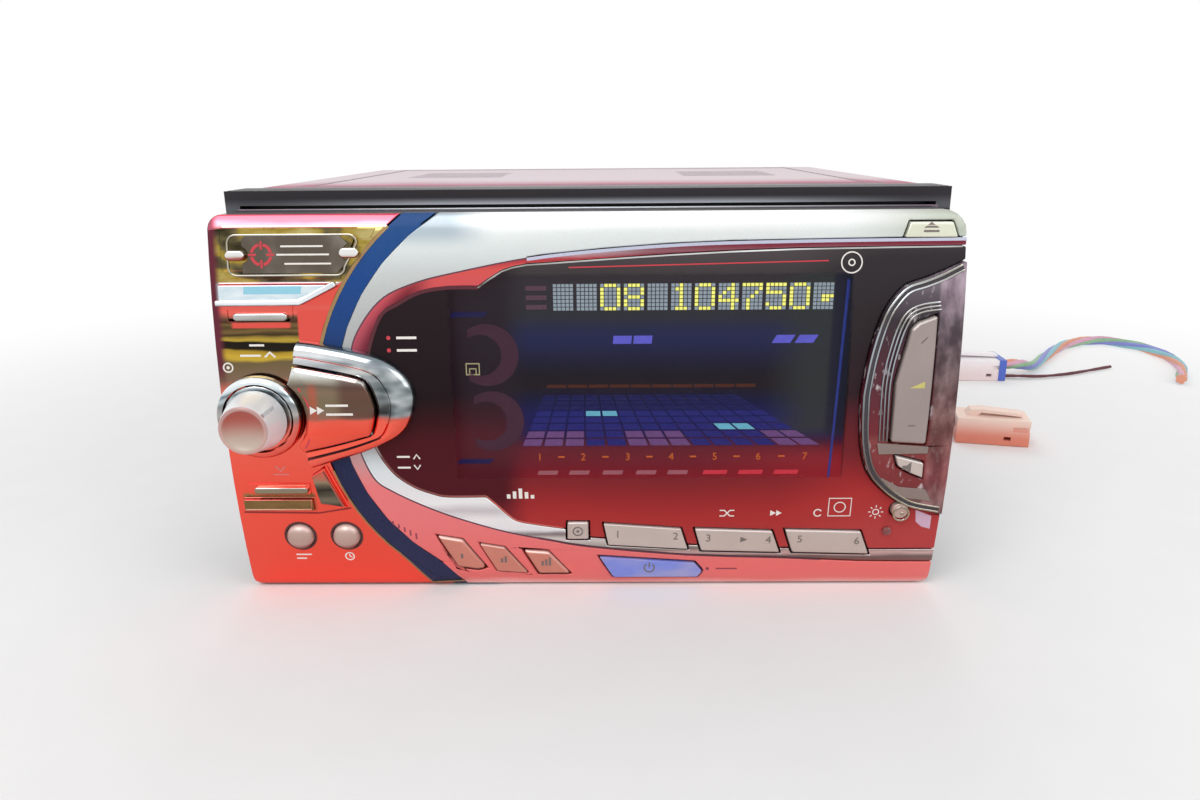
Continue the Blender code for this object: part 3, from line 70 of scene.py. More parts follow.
# Leads
# Bundles of thin copper wires, each in its own coloured PVC, lightly twisted together. They
# leave the rear connector, lie beside the unit and end in two nylon plugs; the long harness was
# cut off when the unit was taken out of its car, so its far end is bare.
MM = 0.001
FACE_Y = -80.1
LEAD_WIDE, HARNESS_WIDE, THIN_WIDE = 4.4, 5.0, 1.6
PLUG_A_SIZE, PLUG_A_PLACE, PLUG_A_TURN, PLUG_A_CELLS = (32, 18, 12.5), (180, 211), -4, 4
PLUG_B_SIZE, PLUG_B_PLACE, PLUG_B_TURN, PLUG_B_CELLS = (26, 15, 12.5), (153, 117), -14, 3
LEAD_A_EXIT, LEAD_B_EXIT, THIN_LEAD_ASIDE = 56, 64, -5
SOCKET_REAR, LEAD_RISE = 177.7, 21.5
LEAD_STRAIGHT, LEAD_GAP = 8.5, 0.3
LEAD_A_ROUTE = ((61, 201, 12.5), (79, 213, 3.0), (103, 219, 2.3), (129, 218, 2.6))
LEAD_B_ROUTE = (
    (74, 198.5, 13), (92.5, 198.5, 3.2), (108, 182, 2.3), (113.5, 159, 2.3), (115, 137, 2.8),
)
HARNESS_ROUTE = (
    (217, 220, 3.0), (236, 244, 2.6), (257, 267, 2.6), (279, 276, 2.6),
    (293, 260, 2.6), (294, 235, 2.6), (286, 212, 2.6), (274, 193, 2.6),
)
THIN_ROUTE = ((214, 205, 1.2), (229, 210, 0.9), (244, 217, 0.9), (258, 224, 0.9))
WIRE_COLOURS = {
    "wire_orange": (226, 154, 126), "wire_teal": (140, 196, 206), "wire_blue": (133, 140, 208),
    "wire_green": (146, 184, 148), "wire_pink": (221, 168, 191), "wire_maroon": (92, 34, 44),
}
STRAND_SIDES, STRAND_TWIST, STRAND_DEEP = 4, math.radians(24), 0.24
LEAD_STEPS, THIN_STEPS = 4, 5
OVERRUN = 1
PLUG_LATCH_HIGH, PLUG_LATCH_HALF = 2.6, 3
PLUG_GROOVE, PLUG_NOTCH = ((-9, 2), (-6.5, 3.4)), ((-6, 5.6), (1, 7.4))
CELL_WALL, CELL_ZS, CELL_HALF_HIGH, CELL_SHARE, CELL_DEEP = 1.5, (3.2, 7.5), 1.4, 0.36, 7
LATCH_REAR, LATCH_UNDER = ((3, -3.2), (5, -0.4), (9, 0)), ((9, -1.3), (7, -3.2))
LATCH_NOSE = ((-2.5, -1.0), (-2.5, -2.2))
COLLAR_START, COLLAR_BORE, COLLAR_END, COLLAR_FOOT = 3.4, 4, 0.1, 0.1
COLLAR_OUT, COLLAR_IN = 0.3, 0.05


def tone(red, green, blue):
    """The linear colour of three 0 to 255 numbers as a screen shows them."""
    shares = (c / 255 for c in (red, green, blue))
    return tuple(c / 12.92 if c <= 0.04045 else ((c + 0.055) / 1.055) ** 2.4 for c in shares)


class Shade:
    """A shader socket that takes part in sums: each operator adds one Math node."""

    def __init__(self, nodes, socket):
        self.nodes = nodes
        self.socket = socket

    def math(self, operation, first, second):
        return self.nodes.node("ShaderNodeMath", {"operation": operation}, {0: first, 1: second})

    def __add__(self, other):
        return self.math("ADD", self, other)

    def __sub__(self, other):
        return self.math("SUBTRACT", self, other)

    def __rsub__(self, other):
        return self.math("SUBTRACT", other, self)

    def __mul__(self, other):
        return self.math("MULTIPLY", self, other)

    def __or__(self, other):
        return self.math("MAXIMUM", self, other)


class Nodes:
    """A node tree in the making, whose nodes all come from the method node."""

    def __init__(self, tree):
        self.tree = tree

    def join(self, socket, value):
        if isinstance(value, Shade):
            self.tree.links.new(value.socket, socket)
        elif socket.type == "RGBA":
            socket.default_value = (*value, 1)
        else:
            socket.default_value = value

    def node(self, kind, settings=None, sockets=None, output=0):
        made = self.tree.nodes.new(kind)
        for name, value in (settings or {}).items():
            if name == "stops":
                set_stops(made.color_ramp, value)
            else:
                setattr(made, name, value)
        for key, value in (sockets or {}).items():
            self.join(made.inputs[key], value)
        return Shade(self, made.outputs[output])


class Finish(Nodes):
    """A material in the making, with the nodes that most finishes here share."""

    def __init__(self, name, **fixed):
        self.material = bpy.data.materials.new(name)
        self.material.use_nodes = True
        super().__init__(self.material.node_tree)
        self.shader = self.tree.nodes["Principled BSDF"]
        self.set(**fixed)

    def set(self, **values):
        for name, value in values.items():
            self.join(self.shader.inputs[name.replace("_", " ")], value)
        return self.material

    def spot(self):
        return self.node("ShaderNodeTexCoord", output="Object")

    def place(self, axis):
        return self.node("ShaderNodeSeparateXYZ", None, {0: self.spot()}, axis)

    def slope(self, axis):
        normal = self.node("ShaderNodeTexCoord", output="Normal")
        return self.node("ShaderNodeSeparateXYZ", None, {0: normal}, axis)

    def noise(self, scale, stretch=(1, 1, 1), detail=2.0):
        scaled_spot = {0: self.spot(), 1: stretch}
        spot = self.node("ShaderNodeVectorMath", {"operation": "MULTIPLY"}, scaled_spot)
        return self.node("ShaderNodeTexNoise", None, {"Vector": spot, "Scale": scale, "Detail": detail})

    def mix(self, factor, first, second):
        return self.node("ShaderNodeMix", {"data_type": "RGBA"}, {0: factor, 6: first, 7: second}, 2)

    def bands(self, value, stops):
        """Colours that follow a value, from pairs of a value and a colour as a screen shows it."""
        return self.node("ShaderNodeValToRGB", {"stops": stops}, {0: value})

    def rise(self, value, low, high):
        limits = {"Value": value, "From Min": low, "From Max": high}
        return self.node("ShaderNodeMapRange", {"interpolation_type": "SMOOTHSTEP"}, limits)

    def past(self, axis, low, high):
        """Rises from nothing at one place along an axis to one at another, in metres."""
        return self.rise(self.place(axis), low, high)

    def within(self, axis, low, high, soft=0.0005):
        """One between two places along an axis and nothing outside them."""
        value = self.place(axis)
        return self.rise(value, low - soft, low + soft) * self.rise(value, high + soft, high - soft)

    def bump(self, height, distance):
        return self.node("ShaderNodeBump", None, {"Height": height, "Distance": distance})


def set_stops(ramp, stops):
    while len(ramp.elements) < len(stops):
        ramp.elements.new(1)
    for element, (position, colour) in zip(ramp.elements, stops):
        element.position = position
        element.color = (*tone(*colour), 1)


def grained(
    name, colour, rough, metal=0.0, drift=0.12, grain=1400, relief=0.00001, stretch=(1, 1, 1), **fixed
):
    """A finish with a slow drift in its colour and a fine grain in its gloss and surface."""
    finish = Finish(name, Metallic=metal, **fixed)
    slow = finish.noise(45)
    fine = finish.noise(grain, stretch, 3.0)
    dark = tuple(c * (1 - drift) for c in tone(*colour))
    light = tuple(min(1.0, c * (1 + drift)) for c in tone(*colour))
    shade = finish.mix(slow * 0.7 + fine * 0.3, dark, light)
    return finish.set(
        Base_Color=shade, Roughness=fine * 0.16 + (rough - 0.08), Normal=finish.bump(fine, relief)
    )


def smooth(points, steps):
    """Points along a Catmull-Rom curve that passes through all the given ones."""
    ends = [points[0], *points, points[-1]]
    found = []
    for a, b, c, d in zip(ends, ends[1:], ends[2:], ends[3:]):
        for step in range(steps):
            t = step / steps
            found.append(
                tuple(
                    q + 0.5 * (r - p) * t + (p - 2.5 * q + 2 * r - 0.5 * s) * t**2
                    + 0.5 * (3 * q - p - 3 * r + s) * t**3
                    for p, q, r, s in zip(a, b, c, d)
                )
            )
    return [*found, points[-1]]


def together(shapes):
    """One bmesh that holds several closed shapes side by side."""
    whole = bmesh.new()
    for shape in shapes:
        mesh = bpy.data.meshes.new("part")
        shape.to_mesh(mesh)
        shape.free()
        whole.from_mesh(mesh)
        bpy.data.meshes.remove(mesh)
    return whole


def settle(
    name, shape, finish, body="front_panel", edge=0.0, stands_for=(), sharp=30, segments=2
):
    """Turns a bmesh in millimetres, or a list of them, into a shown piece that rides on a body."""
    if isinstance(shape, list):
        shape = together(shape)
    bmesh.ops.recalc_face_normals(shape, faces=shape.faces)
    bmesh.ops.scale(shape, vec=(MM, MM, MM), verts=shape.verts)
    mesh = bpy.data.meshes.new(name)
    shape.to_mesh(mesh)
    shape.free()
    for material in finish if isinstance(finish, list) else [finish]:
        mesh.materials.append(material)
    piece = bpy.data.objects.new(name, mesh)
    bpy.context.scene.collection.objects.link(piece)
    soften(piece, edge, sharp, segments)
    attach(piece, body)
    if stands_for:
        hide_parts(*stands_for)
    return piece


def soften(piece, edge, sharp, segments, clamp=True):
    """Smooth shading, with the corners rounded by edge millimetres or else kept crisp."""
    piece.data.shade_smooth()
    if edge:
        rounding = piece.modifiers.new("edge", "BEVEL")
        rounding.width = edge * MM
        rounding.segments = segments
        rounding.limit_method = "ANGLE"
        rounding.angle_limit = math.radians(sharp)
        rounding.use_clamp_overlap = clamp
    else:
        piece.data.set_sharp_from_angle(angle=math.radians(sharp))
    even = piece.modifiers.new("even", "WEIGHTED_NORMAL")
    even.keep_sharp = True


def route_of(route, steps):
    """Ring centres of a lead: a smooth run with its first and last stretch straight."""
    points = smooth(route, steps)
    straight = []
    for start, end in ((points[0], points[steps]), (points[-1 - steps], points[-1])):
        shares = [i / steps for i in range(steps)]
        straight.append([tuple(a + (b - a) * share for a, b in zip(start, end)) for share in shares])
    return [*straight[0], *points[steps:-steps], *straight[1][1:], points[-1]]


def twisted(name, route, wide, colours, steps=LEAD_STEPS):
    """A bundle of wires as one tube: each lobe round it is one wire, in its own colour."""
    centres = [
        Vector((x, FACE_Y + depth, max(z, wide / 2))) for x, depth, z in route_of(route, steps)
    ]
    shape = bmesh.new()
    rings = []
    count = len(colours) * STRAND_SIDES
    for i, centre in enumerate(centres):
        along = (centres[min(i + 1, len(centres) - 1)] - centres[max(i - 1, 0)]).normalized()
        side = along.cross(Vector((0, 0, 1))).normalized()
        up = side.cross(along)
        ring = []
        for k in range(count):
            lobe = abs(math.sin(math.pi * k / STRAND_SIDES))
            reach = wide / 2 * (1 - STRAND_DEEP + STRAND_DEEP * lobe)
            turn = 2 * math.pi * k / count + i * STRAND_TWIST
            out = side * math.cos(turn) + up * math.sin(turn)
            ring.append(shape.verts.new(centre + reach * out))
        rings.append(ring)
    for one, two in zip(rings, rings[1:]):
        for k in range(count):
            face = shape.faces.new((one[k], one[(k + 1) % count], two[(k + 1) % count], two[k]))
            face.material_index = k // STRAND_SIDES
    for ring in (rings[0][::-1], rings[-1]):
        shape.faces.new(ring)
    node = name.removeprefix("wires_")
    finishes = [wire_finish(colour) for colour in colours]
    piece = settle(name, shape, finishes, "chassis", stands_for=(node,), sharp=60)
    return piece, [centre * MM for centre in centres]


def wire_finish(name):
    made = bpy.data.materials.get(name)
    return made or grained(name, WIRE_COLOURS[name], 0.42, drift=0.2, grain=700)


def beside(plug_place, turn, along, aside):
    """A point of a turned plug's own frame, as x and depth."""
    cosine, sine = math.cos(math.radians(turn)), math.sin(math.radians(turn))
    x = plug_place[0] + along * cosine - aside * sine
    return (x, plug_place[1] + along * sine + aside * cosine)


def plug_mouth(size, plug_place, turn, side, aside=0.0, rise=None):
    """Two points where a lead meets a plug's end, the outer one first."""
    reaches = (LEAD_STRAIGHT, LEAD_GAP)
    spots = [beside(plug_place, turn, side * (size[0] / 2 + reach), aside) for reach in reaches]
    return [(*spot, rise or size[2] / 2) for spot in spots]


def socket_mouth(x):
    return [(x, SOCKET_REAR + reach, LEAD_RISE) for reach in (LEAD_GAP, LEAD_STRAIGHT)]


def box_outline(low, high):
    return [low, (high[0], low[1]), high, (low[0], high[1])]


def in_front(x, y, z):
    """Places an outline of x and z at a y."""
    return Vector((x, y, z))


def from_above(x, z, y):
    """Places an outline of x and y at a height."""
    return Vector((x, y, z))


def from_side(y, x, z):
    """Places an outline of y and z at an x."""
    return Vector((x, y, z))


def prism(outline, near, far, place=in_front):
    """A closed bmesh of an outline swept from near to far."""
    shape = bmesh.new()
    loops = [[shape.verts.new(place(a, depth, b)) for a, b in outline] for depth in (near, far)]
    shape.faces.new(loops[0])
    shape.faces.new(loops[1][::-1])
    for i in range(len(outline)):
        j = (i + 1) % len(outline)
        shape.faces.new((loops[0][i], loops[1][i], loops[1][j], loops[0][j]))
    return shape


def block(low, high):
    return prism(box_outline((low[0], low[2]), (high[0], high[2])), low[1], high[1])


def changed(base, tool, operation="DIFFERENCE"):
    """The base with the tool, or all of a list of them, cut from it or joined to it."""
    pair = []
    for shape in (base, together(tool) if isinstance(tool, list) else tool):
        bmesh.ops.recalc_face_normals(shape, faces=shape.faces)
        mesh = bpy.data.meshes.new("part")
        shape.to_mesh(mesh)
        shape.free()
        helper = bpy.data.objects.new("part", mesh)
        bpy.context.scene.collection.objects.link(helper)
        pair.append(helper)
    change = pair[0].modifiers.new("change", "BOOLEAN")
    change.operation = operation
    change.solver = "EXACT"
    change.object = pair[1]
    graph = bpy.context.evaluated_depsgraph_get()
    made = bmesh.new()
    made.from_mesh(pair[0].evaluated_get(graph).to_mesh())
    for helper in pair:
        mesh = helper.data
        bpy.data.objects.remove(helper)
        bpy.data.meshes.remove(mesh)
    return made


def plug_shape(size, plug_place, turn, cells):
    """A nylon plug lying flat: ribbed flanks, a latch on top and rows of cells at one end."""
    half_long, half_wide, high = size[0] / 2, size[1] / 2, size[2]
    shape = block((-half_long, -half_wide, 0), (half_long, half_wide, high - PLUG_LATCH_HIGH))
    side = half_wide + OVERRUN
    for ((start, low), (end, top)), reach in ((PLUG_GROOVE, side), (PLUG_NOTCH, OVERRUN - half_wide)):
        shape = changed(shape, block((half_long + start, -side, low), (half_long + end, reach, top)))
    pitch = (size[1] - 2 * CELL_WALL) / cells
    holes = []
    for z, k in itertools.product(CELL_ZS, range(cells)):
        y = CELL_WALL - half_wide + pitch * (k + 0.5)
        low = (half_long - CELL_DEEP, y - pitch * CELL_SHARE, z - CELL_HALF_HIGH)
        holes.append(block(low, (half_long + OVERRUN, y + pitch * CELL_SHARE, z + CELL_HALF_HIGH)))
    shape = changed(shape, holes)
    rear, nose, under = (
        [(end + along, high + rise) for along, rise in points]
        for end, points in ((-half_long, LATCH_REAR), (half_long, LATCH_NOSE), (-half_long, LATCH_UNDER))
    )
    latch = prism([*rear, *nose, *under], -PLUG_LATCH_HALF, PLUG_LATCH_HALF)
    shape = changed(shape, latch, "UNION")
    return laid(shape, plug_place, turn)


def laid(shape, plug_place, turn):
    """Turns a shape about the upright and moves it to a plug's place."""
    for corner in shape.verts:
        x, depth = beside(plug_place, turn, corner.co.x, corner.co.y)
        corner.co = (x, FACE_Y + depth, corner.co.z)
    return shape


def nylon(name, foot, head):
    """Unfilled nylon, a little clear, with painted shade and a painted red reflection that deepen
    toward its foot.
    """
    finish = Finish(name, Subsurface_Weight=0.12, Subsurface_Scale=0.002)
    fine = finish.noise(900)
    # Paler toward the top as painted light, redder toward the foot as painted reflection.
    share = finish.past(2, 0.002, 0.011) + (fine - 0.5) * 0.1
    shade = finish.mix(share, tone(*foot), tone(*head))
    return finish.set(Base_Color=shade, Roughness=fine * 0.12 + 0.36)


white_nylon = nylon("white_nylon", (236, 216, 216), (246, 240, 242))
pink_nylon = nylon("pink_nylon", (226, 134, 112), (248, 220, 206))
blue_cap = grained("blue_cap", (78, 104, 196), 0.38, grain=900)
plug_a = settle(
    "plug_a_housing", plug_shape(PLUG_A_SIZE, PLUG_A_PLACE, PLUG_A_TURN, PLUG_A_CELLS),
    white_nylon, "chassis", 0.35, ("plug_a",),
)
plug_b = settle(
    "plug_b_housing", plug_shape(PLUG_B_SIZE, PLUG_B_PLACE, PLUG_B_TURN, PLUG_B_CELLS),
    pink_nylon, "chassis", 0.35, ("plug_b",),
)
half, wide, high = PLUG_A_SIZE[0] / 2, PLUG_A_SIZE[1] / 2, PLUG_A_SIZE[2] - PLUG_LATCH_HIGH
out, bore = wide + COLLAR_OUT, wide - COLLAR_IN
collar = changed(
    block((half - COLLAR_START, -out, COLLAR_FOOT), (half - COLLAR_END, out, high + COLLAR_OUT)),
    block((half - COLLAR_BORE, -bore, 0), (half + OVERRUN, bore, high - COLLAR_IN)),
)
settle("plug_a_collar", laid(collar, PLUG_A_PLACE, PLUG_A_TURN), blue_cap, "chassis", 0.15)
*all_colours, thin_colour = WIRE_COLOURS
run = [*socket_mouth(LEAD_A_EXIT), *LEAD_A_ROUTE, *plug_mouth(PLUG_A_SIZE, PLUG_A_PLACE, PLUG_A_TURN, -1)]
lead_a, lead_a_line = twisted("wires_lead_a", run, LEAD_WIDE, all_colours[:4])
run = [*socket_mouth(LEAD_B_EXIT), *LEAD_B_ROUTE, *plug_mouth(PLUG_B_SIZE, PLUG_B_PLACE, PLUG_B_TURN, -1)]
lead_b, lead_b_line = twisted("wires_lead_b", run, LEAD_WIDE, all_colours[1:])
run = [*plug_mouth(PLUG_A_SIZE, PLUG_A_PLACE, PLUG_A_TURN, 1)[::-1], *HARNESS_ROUTE]
harness, harness_line = twisted("wires_harness", run, HARNESS_WIDE, all_colours)
mouth = plug_mouth(PLUG_A_SIZE, PLUG_A_PLACE, PLUG_A_TURN, 1, THIN_LEAD_ASIDE, THIN_WIDE)
run = [*mouth[::-1], *THIN_ROUTE]
thin_lead, thin_line = twisted("wires_thin_lead", run, THIN_WIDE, [thin_colour] * 2, THIN_STEPS)


def length_of(line):
    return sum((b - a).length for a, b in zip(line, line[1:]))


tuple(lead_a_line[0])
length_of(lead_a_line)
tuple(lead_b_line[0])
length_of(lead_b_line)
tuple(harness_line[0])
length_of(harness_line)
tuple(thin_line[0])
length_of(thin_line)


# Sleeve
# Zinc-plated sheet steel, folded into a tray and closed by a flanged cover, both held by small
# screws; the cover has a shallow pressed frame, and both have slots that let the heat out.
MEND_GAP, MEND_ANGLE = 2e-6, math.radians(0.6)
SCREW_RADIUS, SCREW_SUNK, SCREW_HIGH, CROSS_LONG, CROSS_WIDE = 2.3, 0.3, 0.32, 0.62, 0.14
COVER_FRAME_LOW, COVER_FRAME_HIGH, COVER_RIB_WIDE = (-80, -44), (80, 84), 3.5
COVER_RIB_FOOT, COVER_RIB_TOP, COVER_CLEAR_FOOT, COVER_CLEAR_TOP = 100.8, 101.4, 100, 102
HOLE_RADIUS, HOLE_START, HOLE_END, HOLE_YS, HOLE_ZS = 2.6, 86, 92, (-34, 78), (24, 76)
SIDE_X, REAR_Y, SCREW_Z, SIDE_SCREW_YS, REAR_SCREW_XS = 89, 91.6, 96, (-42, 22, 84), (-72, 20, 78)


def own_copy(node):
    """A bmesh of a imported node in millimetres, with its flat faces whole again."""
    shape = bmesh.new()
    shape.from_mesh(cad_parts[node].data)
    bmesh.ops.remove_doubles(shape, verts=shape.verts, dist=MEND_GAP)
    bmesh.ops.dissolve_limit(shape, angle_limit=MEND_ANGLE, verts=shape.verts, edges=shape.edges)
    bmesh.ops.scale(shape, vec=(1 / MM, 1 / MM, 1 / MM), verts=shape.verts)
    return shape


def dress(node, finish, edge=0.0, sharp=30, segments=2, clamp=True):
    """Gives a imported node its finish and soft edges; its own mesh stays as it is."""
    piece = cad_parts[node]
    piece.data.materials.clear()
    piece.data.materials.append(finish)
    whole = piece.modifiers.new("whole", "WELD")
    whole.merge_threshold = MEND_GAP
    flat = piece.modifiers.new("flat", "DECIMATE")
    flat.decimate_type = "DISSOLVE"
    flat.angle_limit = MEND_ANGLE
    if not edge:
        crisp = piece.modifiers.new("crisp", "EDGE_SPLIT")
        crisp.split_angle = math.radians(sharp)
    soften(piece, edge, sharp, segments, clamp)


def circle(centre, radius, sides=24):
    angles = [2 * math.pi * i / sides for i in range(sides)]
    return [(centre[0] + radius * math.cos(a), centre[1] + radius * math.sin(a)) for a in angles]


def screw_shape(centre, out, radius=SCREW_RADIUS):
    """A flat-headed screw with a cross recess; out is the way its head faces."""
    out = Vector(out)
    side = out.orthogonal().normalized()
    other = out.cross(side)

    def placed(a, height, b):
        return Vector(centre) + side * a + other * b + out * height

    head = prism(circle((0, 0), radius, 20), -SCREW_SUNK, SCREW_HIGH, placed)
    reaches = ((radius * CROSS_LONG, radius * CROSS_WIDE), (radius * CROSS_WIDE, radius * CROSS_LONG))
    arms = [prism(box_outline((-a, -b), (a, b)), 0, 1, placed) for a, b in reaches]
    return changed(head, changed(*arms, "UNION"))


def screws(name, places, out, radius=SCREW_RADIUS):
    heads = [screw_shape(place, out, radius) for place in places]
    settle(name, heads, screw_steel, "chassis", 0.12)


zinc = Finish("zinc_plate", Specular_IOR_Level=0.0)
slow = zinc.noise(22, detail=3.0)
rolled = zinc.noise(240, (1, 0.03, 1), 3.0)
# Painted light and reflection: faces that look up are painted paler than the sides, and pink toward the
# front as a reflection of red surroundings.
up = zinc.rise(zinc.slope(2), 0.2, 0.9)
front = zinc.rise(zinc.place(1) + slow * 0.02, 0.006, -0.044)
pale = zinc.mix(front, tone(228, 216, 220), tone(190, 112, 134))
side_steel = zinc.mix(slow, tone(168, 160, 166), tone(196, 188, 192))
zinc.set(
    Base_Color=zinc.mix(up, side_steel, pale),
    Metallic=up * -0.55 + 0.55,
    Roughness=rolled * 0.14 + 0.40,
    Normal=zinc.bump(rolled, 0.00002),
)
screw_steel = grained("screw_steel", (196, 190, 186), 0.28, 1.0, grain=900)

low, high = COVER_FRAME_LOW, COVER_FRAME_HIGH
inner_low, inner_high = [c + COVER_RIB_WIDE for c in low], [c - COVER_RIB_WIDE for c in high]
frame_rib = changed(
    prism(box_outline(low, high), COVER_RIB_FOOT, COVER_RIB_TOP, from_above),
    prism(box_outline(inner_low, inner_high), COVER_CLEAR_FOOT, COVER_CLEAR_TOP, from_above),
)
cover = changed(own_copy("top_cover"), frame_rib, "UNION")
settle("cover_sheet", cover, zinc.material, "chassis", 0.3, ("top_cover",))
holes = [
    prism(circle((y, z), HOLE_RADIUS, 20), side * HOLE_START, side * HOLE_END, from_side)
    for side, y, z in itertools.product((-1, 1), HOLE_YS, HOLE_ZS)
]
tray = changed(own_copy("chassis_tray"), holes)
settle("tray_sheet", tray, zinc.material, "chassis", 0.3, ("chassis_tray",))
for name, side in (("left", -1), ("right", 1)):
    screws("cover_screws_" + name, [(side * SIDE_X, y, SCREW_Z) for y in SIDE_SCREW_YS], (side, 0, 0))
screws("cover_screws_rear", [(x, REAR_Y, SCREW_Z) for x in REAR_SCREW_XS], (0, 1, 0))


# Rear
# A black cast heat sink with twelve fins, a moulded connector block with two rows of pins, the
# bored aerial socket and an earth screw, all held in or on the folded rear wall.
TURN_AXES = {"Y": (Vector((0, 1, 0)), Vector((0, 0, 1))), "Z": (Vector((0, 0, 1)), Vector((1, 0, 0)))}
SINK_SCREWS, SINK_SCREW_RADIUS = ((-70, 94.1, 59), (-6, 94.1, 59)), 1.6
EARTH_SCREW, EARTH_SCREW_RADIUS = (-20, REAR_Y, 20), 3.0
SOCKET_BAYS = (((29.5, 86, 13.8), (48.8, 100, 30.2)), ((51.2, 86, 13.8), (70.5, 100, 18.2)))
SOCKET_NOTCHES = (((51.2, 90, 24.8), (70.5, 100, 30.2)), ((36, 92, 29), (42, 100, 33)))
PIN_ROWS = ((31.2, 2.9, (17, 21.6, 26.2)), (53, 3.2, (15.6,)))
PIN_COUNT, PIN_WIDE, PIN_START, PIN_END = 6, 0.8, 85.5, 94
AERIAL_PLACE, AERIAL_PIN = (-66, 91.8, 18), ((0.7, 0), (0.7, 4.6), (0.3, 5.4))
FUSE_BASE, FUSE_CAP = ((8, 91.3, 40), (20, 96, 58)), ((10, 91.3, 42), (18, 97.2, 56))


def turned(profile, centre, axis, sides=32):
    """A solid turned round an axis: profile is (radius, place along the axis) from end to end."""
    shape = bmesh.new()
    along, side = TURN_AXES[axis]
    other = along.cross(side)
    angles = [2 * math.pi * i / sides for i in range(sides)]
    rings = []
    for radius, reach in profile:
        middle = Vector(centre) + along * reach
        outs = [radius * (side * math.cos(a) + other * math.sin(a)) for a in angles]
        rings.append([shape.verts.new(middle + out) for out in (outs if radius else outs[:1])])
    for one, two in zip(rings, rings[1:]):
        for i in range(sides):
            j = (i + 1) % sides
            corners = [one[i % len(one)], one[j % len(one)], two[j % len(two)], two[i % len(two)]]
            shape.faces.new(list(dict.fromkeys(corners)))
    for ring in (rings[0], rings[-1]):
        if len(ring) > 1:
            shape.faces.new(ring)
    return shape


black_casting = grained("black_casting", (52, 52, 56), 0.5, 0.5, drift=0.25, grain=1000, relief=0.00004)
black_nylon = grained("black_nylon", (34, 32, 36), 0.42, grain=1200)
dull_plate = grained("dull_plate", (176, 170, 158), 0.36, 0.85, 0.15, 500, stretch=(1, 0.05, 1))
pin_gold = grained("pin_gold", (206, 168, 96), 0.25, 1.0)
dress("heat_sink", black_casting, 0.3)
screws("sink_screws", SINK_SCREWS, (0, 1, 0), SINK_SCREW_RADIUS)
socket = own_copy("rear_socket")
for corners in (SOCKET_BAYS, SOCKET_NOTCHES):
    socket = changed(socket, [block(*pair) for pair in corners])
settle("socket_housing", socket, black_nylon, "chassis", 0.25, ("rear_socket",))
pins = []
for start, pitch, rises in PIN_ROWS:
    for k, z in itertools.product(range(PIN_COUNT), rises):
        x = start + pitch * k
        pins.append(block((x, PIN_START, z), (x + PIN_WIDE, PIN_END, z + PIN_WIDE)))
settle("socket_pins", pins, pin_gold, "chassis", 0.1)
dress("aerial_socket", dull_plate, 0.25)
settle("aerial_pin", turned(AERIAL_PIN, AERIAL_PLACE, "Y", 12), pin_gold, "chassis")
screws("earth_screw", [EARTH_SCREW], (0, 1, 0), EARTH_SCREW_RADIUS)
fuse = changed(block(*FUSE_BASE), block(*FUSE_CAP), "UNION")
settle("fuse_holder", fuse, grained("fuse_red", (176, 40, 36), 0.35), "chassis", 0.4)


# Works
# Plated steel decks, a rubber feed roller, the disc motor with its turntable, the pickup on two
# ground rails, and the main board with its parts, all seen only through the slots and vents.
TURNTABLE_PLACE, PICKUP_PLACE = (0, 19.4, 0), (0, 41.4, 0)
PAD_PROFILE = ((8.4, 69.75), (12.6, 69.75), (12.6, 70.05), (8.4, 70.05))
EYE_PROFILE = ((1.4, 69.35), (1.4, 69.5), (0.8, 69.72), (0, 69.8))
BOARD_TOP, COIL_TOP, COIL_RADIUS = 7.3, 17, 4
CHIPS = (((-60, -38), (-34, -12), 9.6), ((-10, 30), (12, 52), 9.3), ((30, -40), (58, -14), 9.6))
COILS = ((66, 10), (66, 22), (54, 66), (-18, 66))
green_board = Finish("green_board", Metallic=0.0)
tracks = green_board.noise(260, (1, 4, 4), 1.0)
mask = green_board.rise(tracks, 0.48, 0.52)
green_board.set(
    Base_Color=green_board.mix(mask, tone(24, 84, 50), tone(38, 112, 66)),
    Roughness=mask * 0.1 + 0.38,
    Normal=green_board.bump(mask, 0.00003),
)
black_rubber = grained("black_rubber", (38, 37, 38), 0.78, grain=600, relief=0.00003)
ground_steel = grained("ground_steel", (206, 204, 200), 0.18, 1.0, stretch=(1, 0.05, 1))
dark_moulding = grained("dark_moulding", (58, 56, 60), 0.5, grain=1500)
for node in ("disc_deck", "cartridge_deck", "tuner_can"):
    dress(node, dull_plate, 0.2)
for node in ("sled_rail_left", "sled_rail_right", "spindle_motor", "hinge_rod", "latch_tongue"):
    dress(node, ground_steel, 0.15, 40)
dress("main_board", green_board.material)
dress("loading_roller", black_rubber, 0.25, 40)
dress("disc_turntable", dark_moulding, 0.2, 40)
dress("laser_sled", dark_moulding, 0.2, 40)
settle("turntable_pad", turned(PAD_PROFILE, TURNTABLE_PLACE, "Z"), black_rubber, "turntable")
lens_blue = grained("pickup_lens", (40, 60, 120), 0.1, Coat_Weight=0.5)
settle("pickup_eye", turned(EYE_PROFILE, PICKUP_PLACE, "Z", 20), lens_blue, "sled")
parts = [block((*low, BOARD_TOP), (*high, top)) for low, high, top in CHIPS]
coil = ((COIL_RADIUS, BOARD_TOP), (COIL_RADIUS, COIL_TOP))
parts += [turned(coil, (x, y, 0), "Z", 20) for x, y in COILS]
settle("board_parts", parts, dark_moulding, "chassis", 0.3)


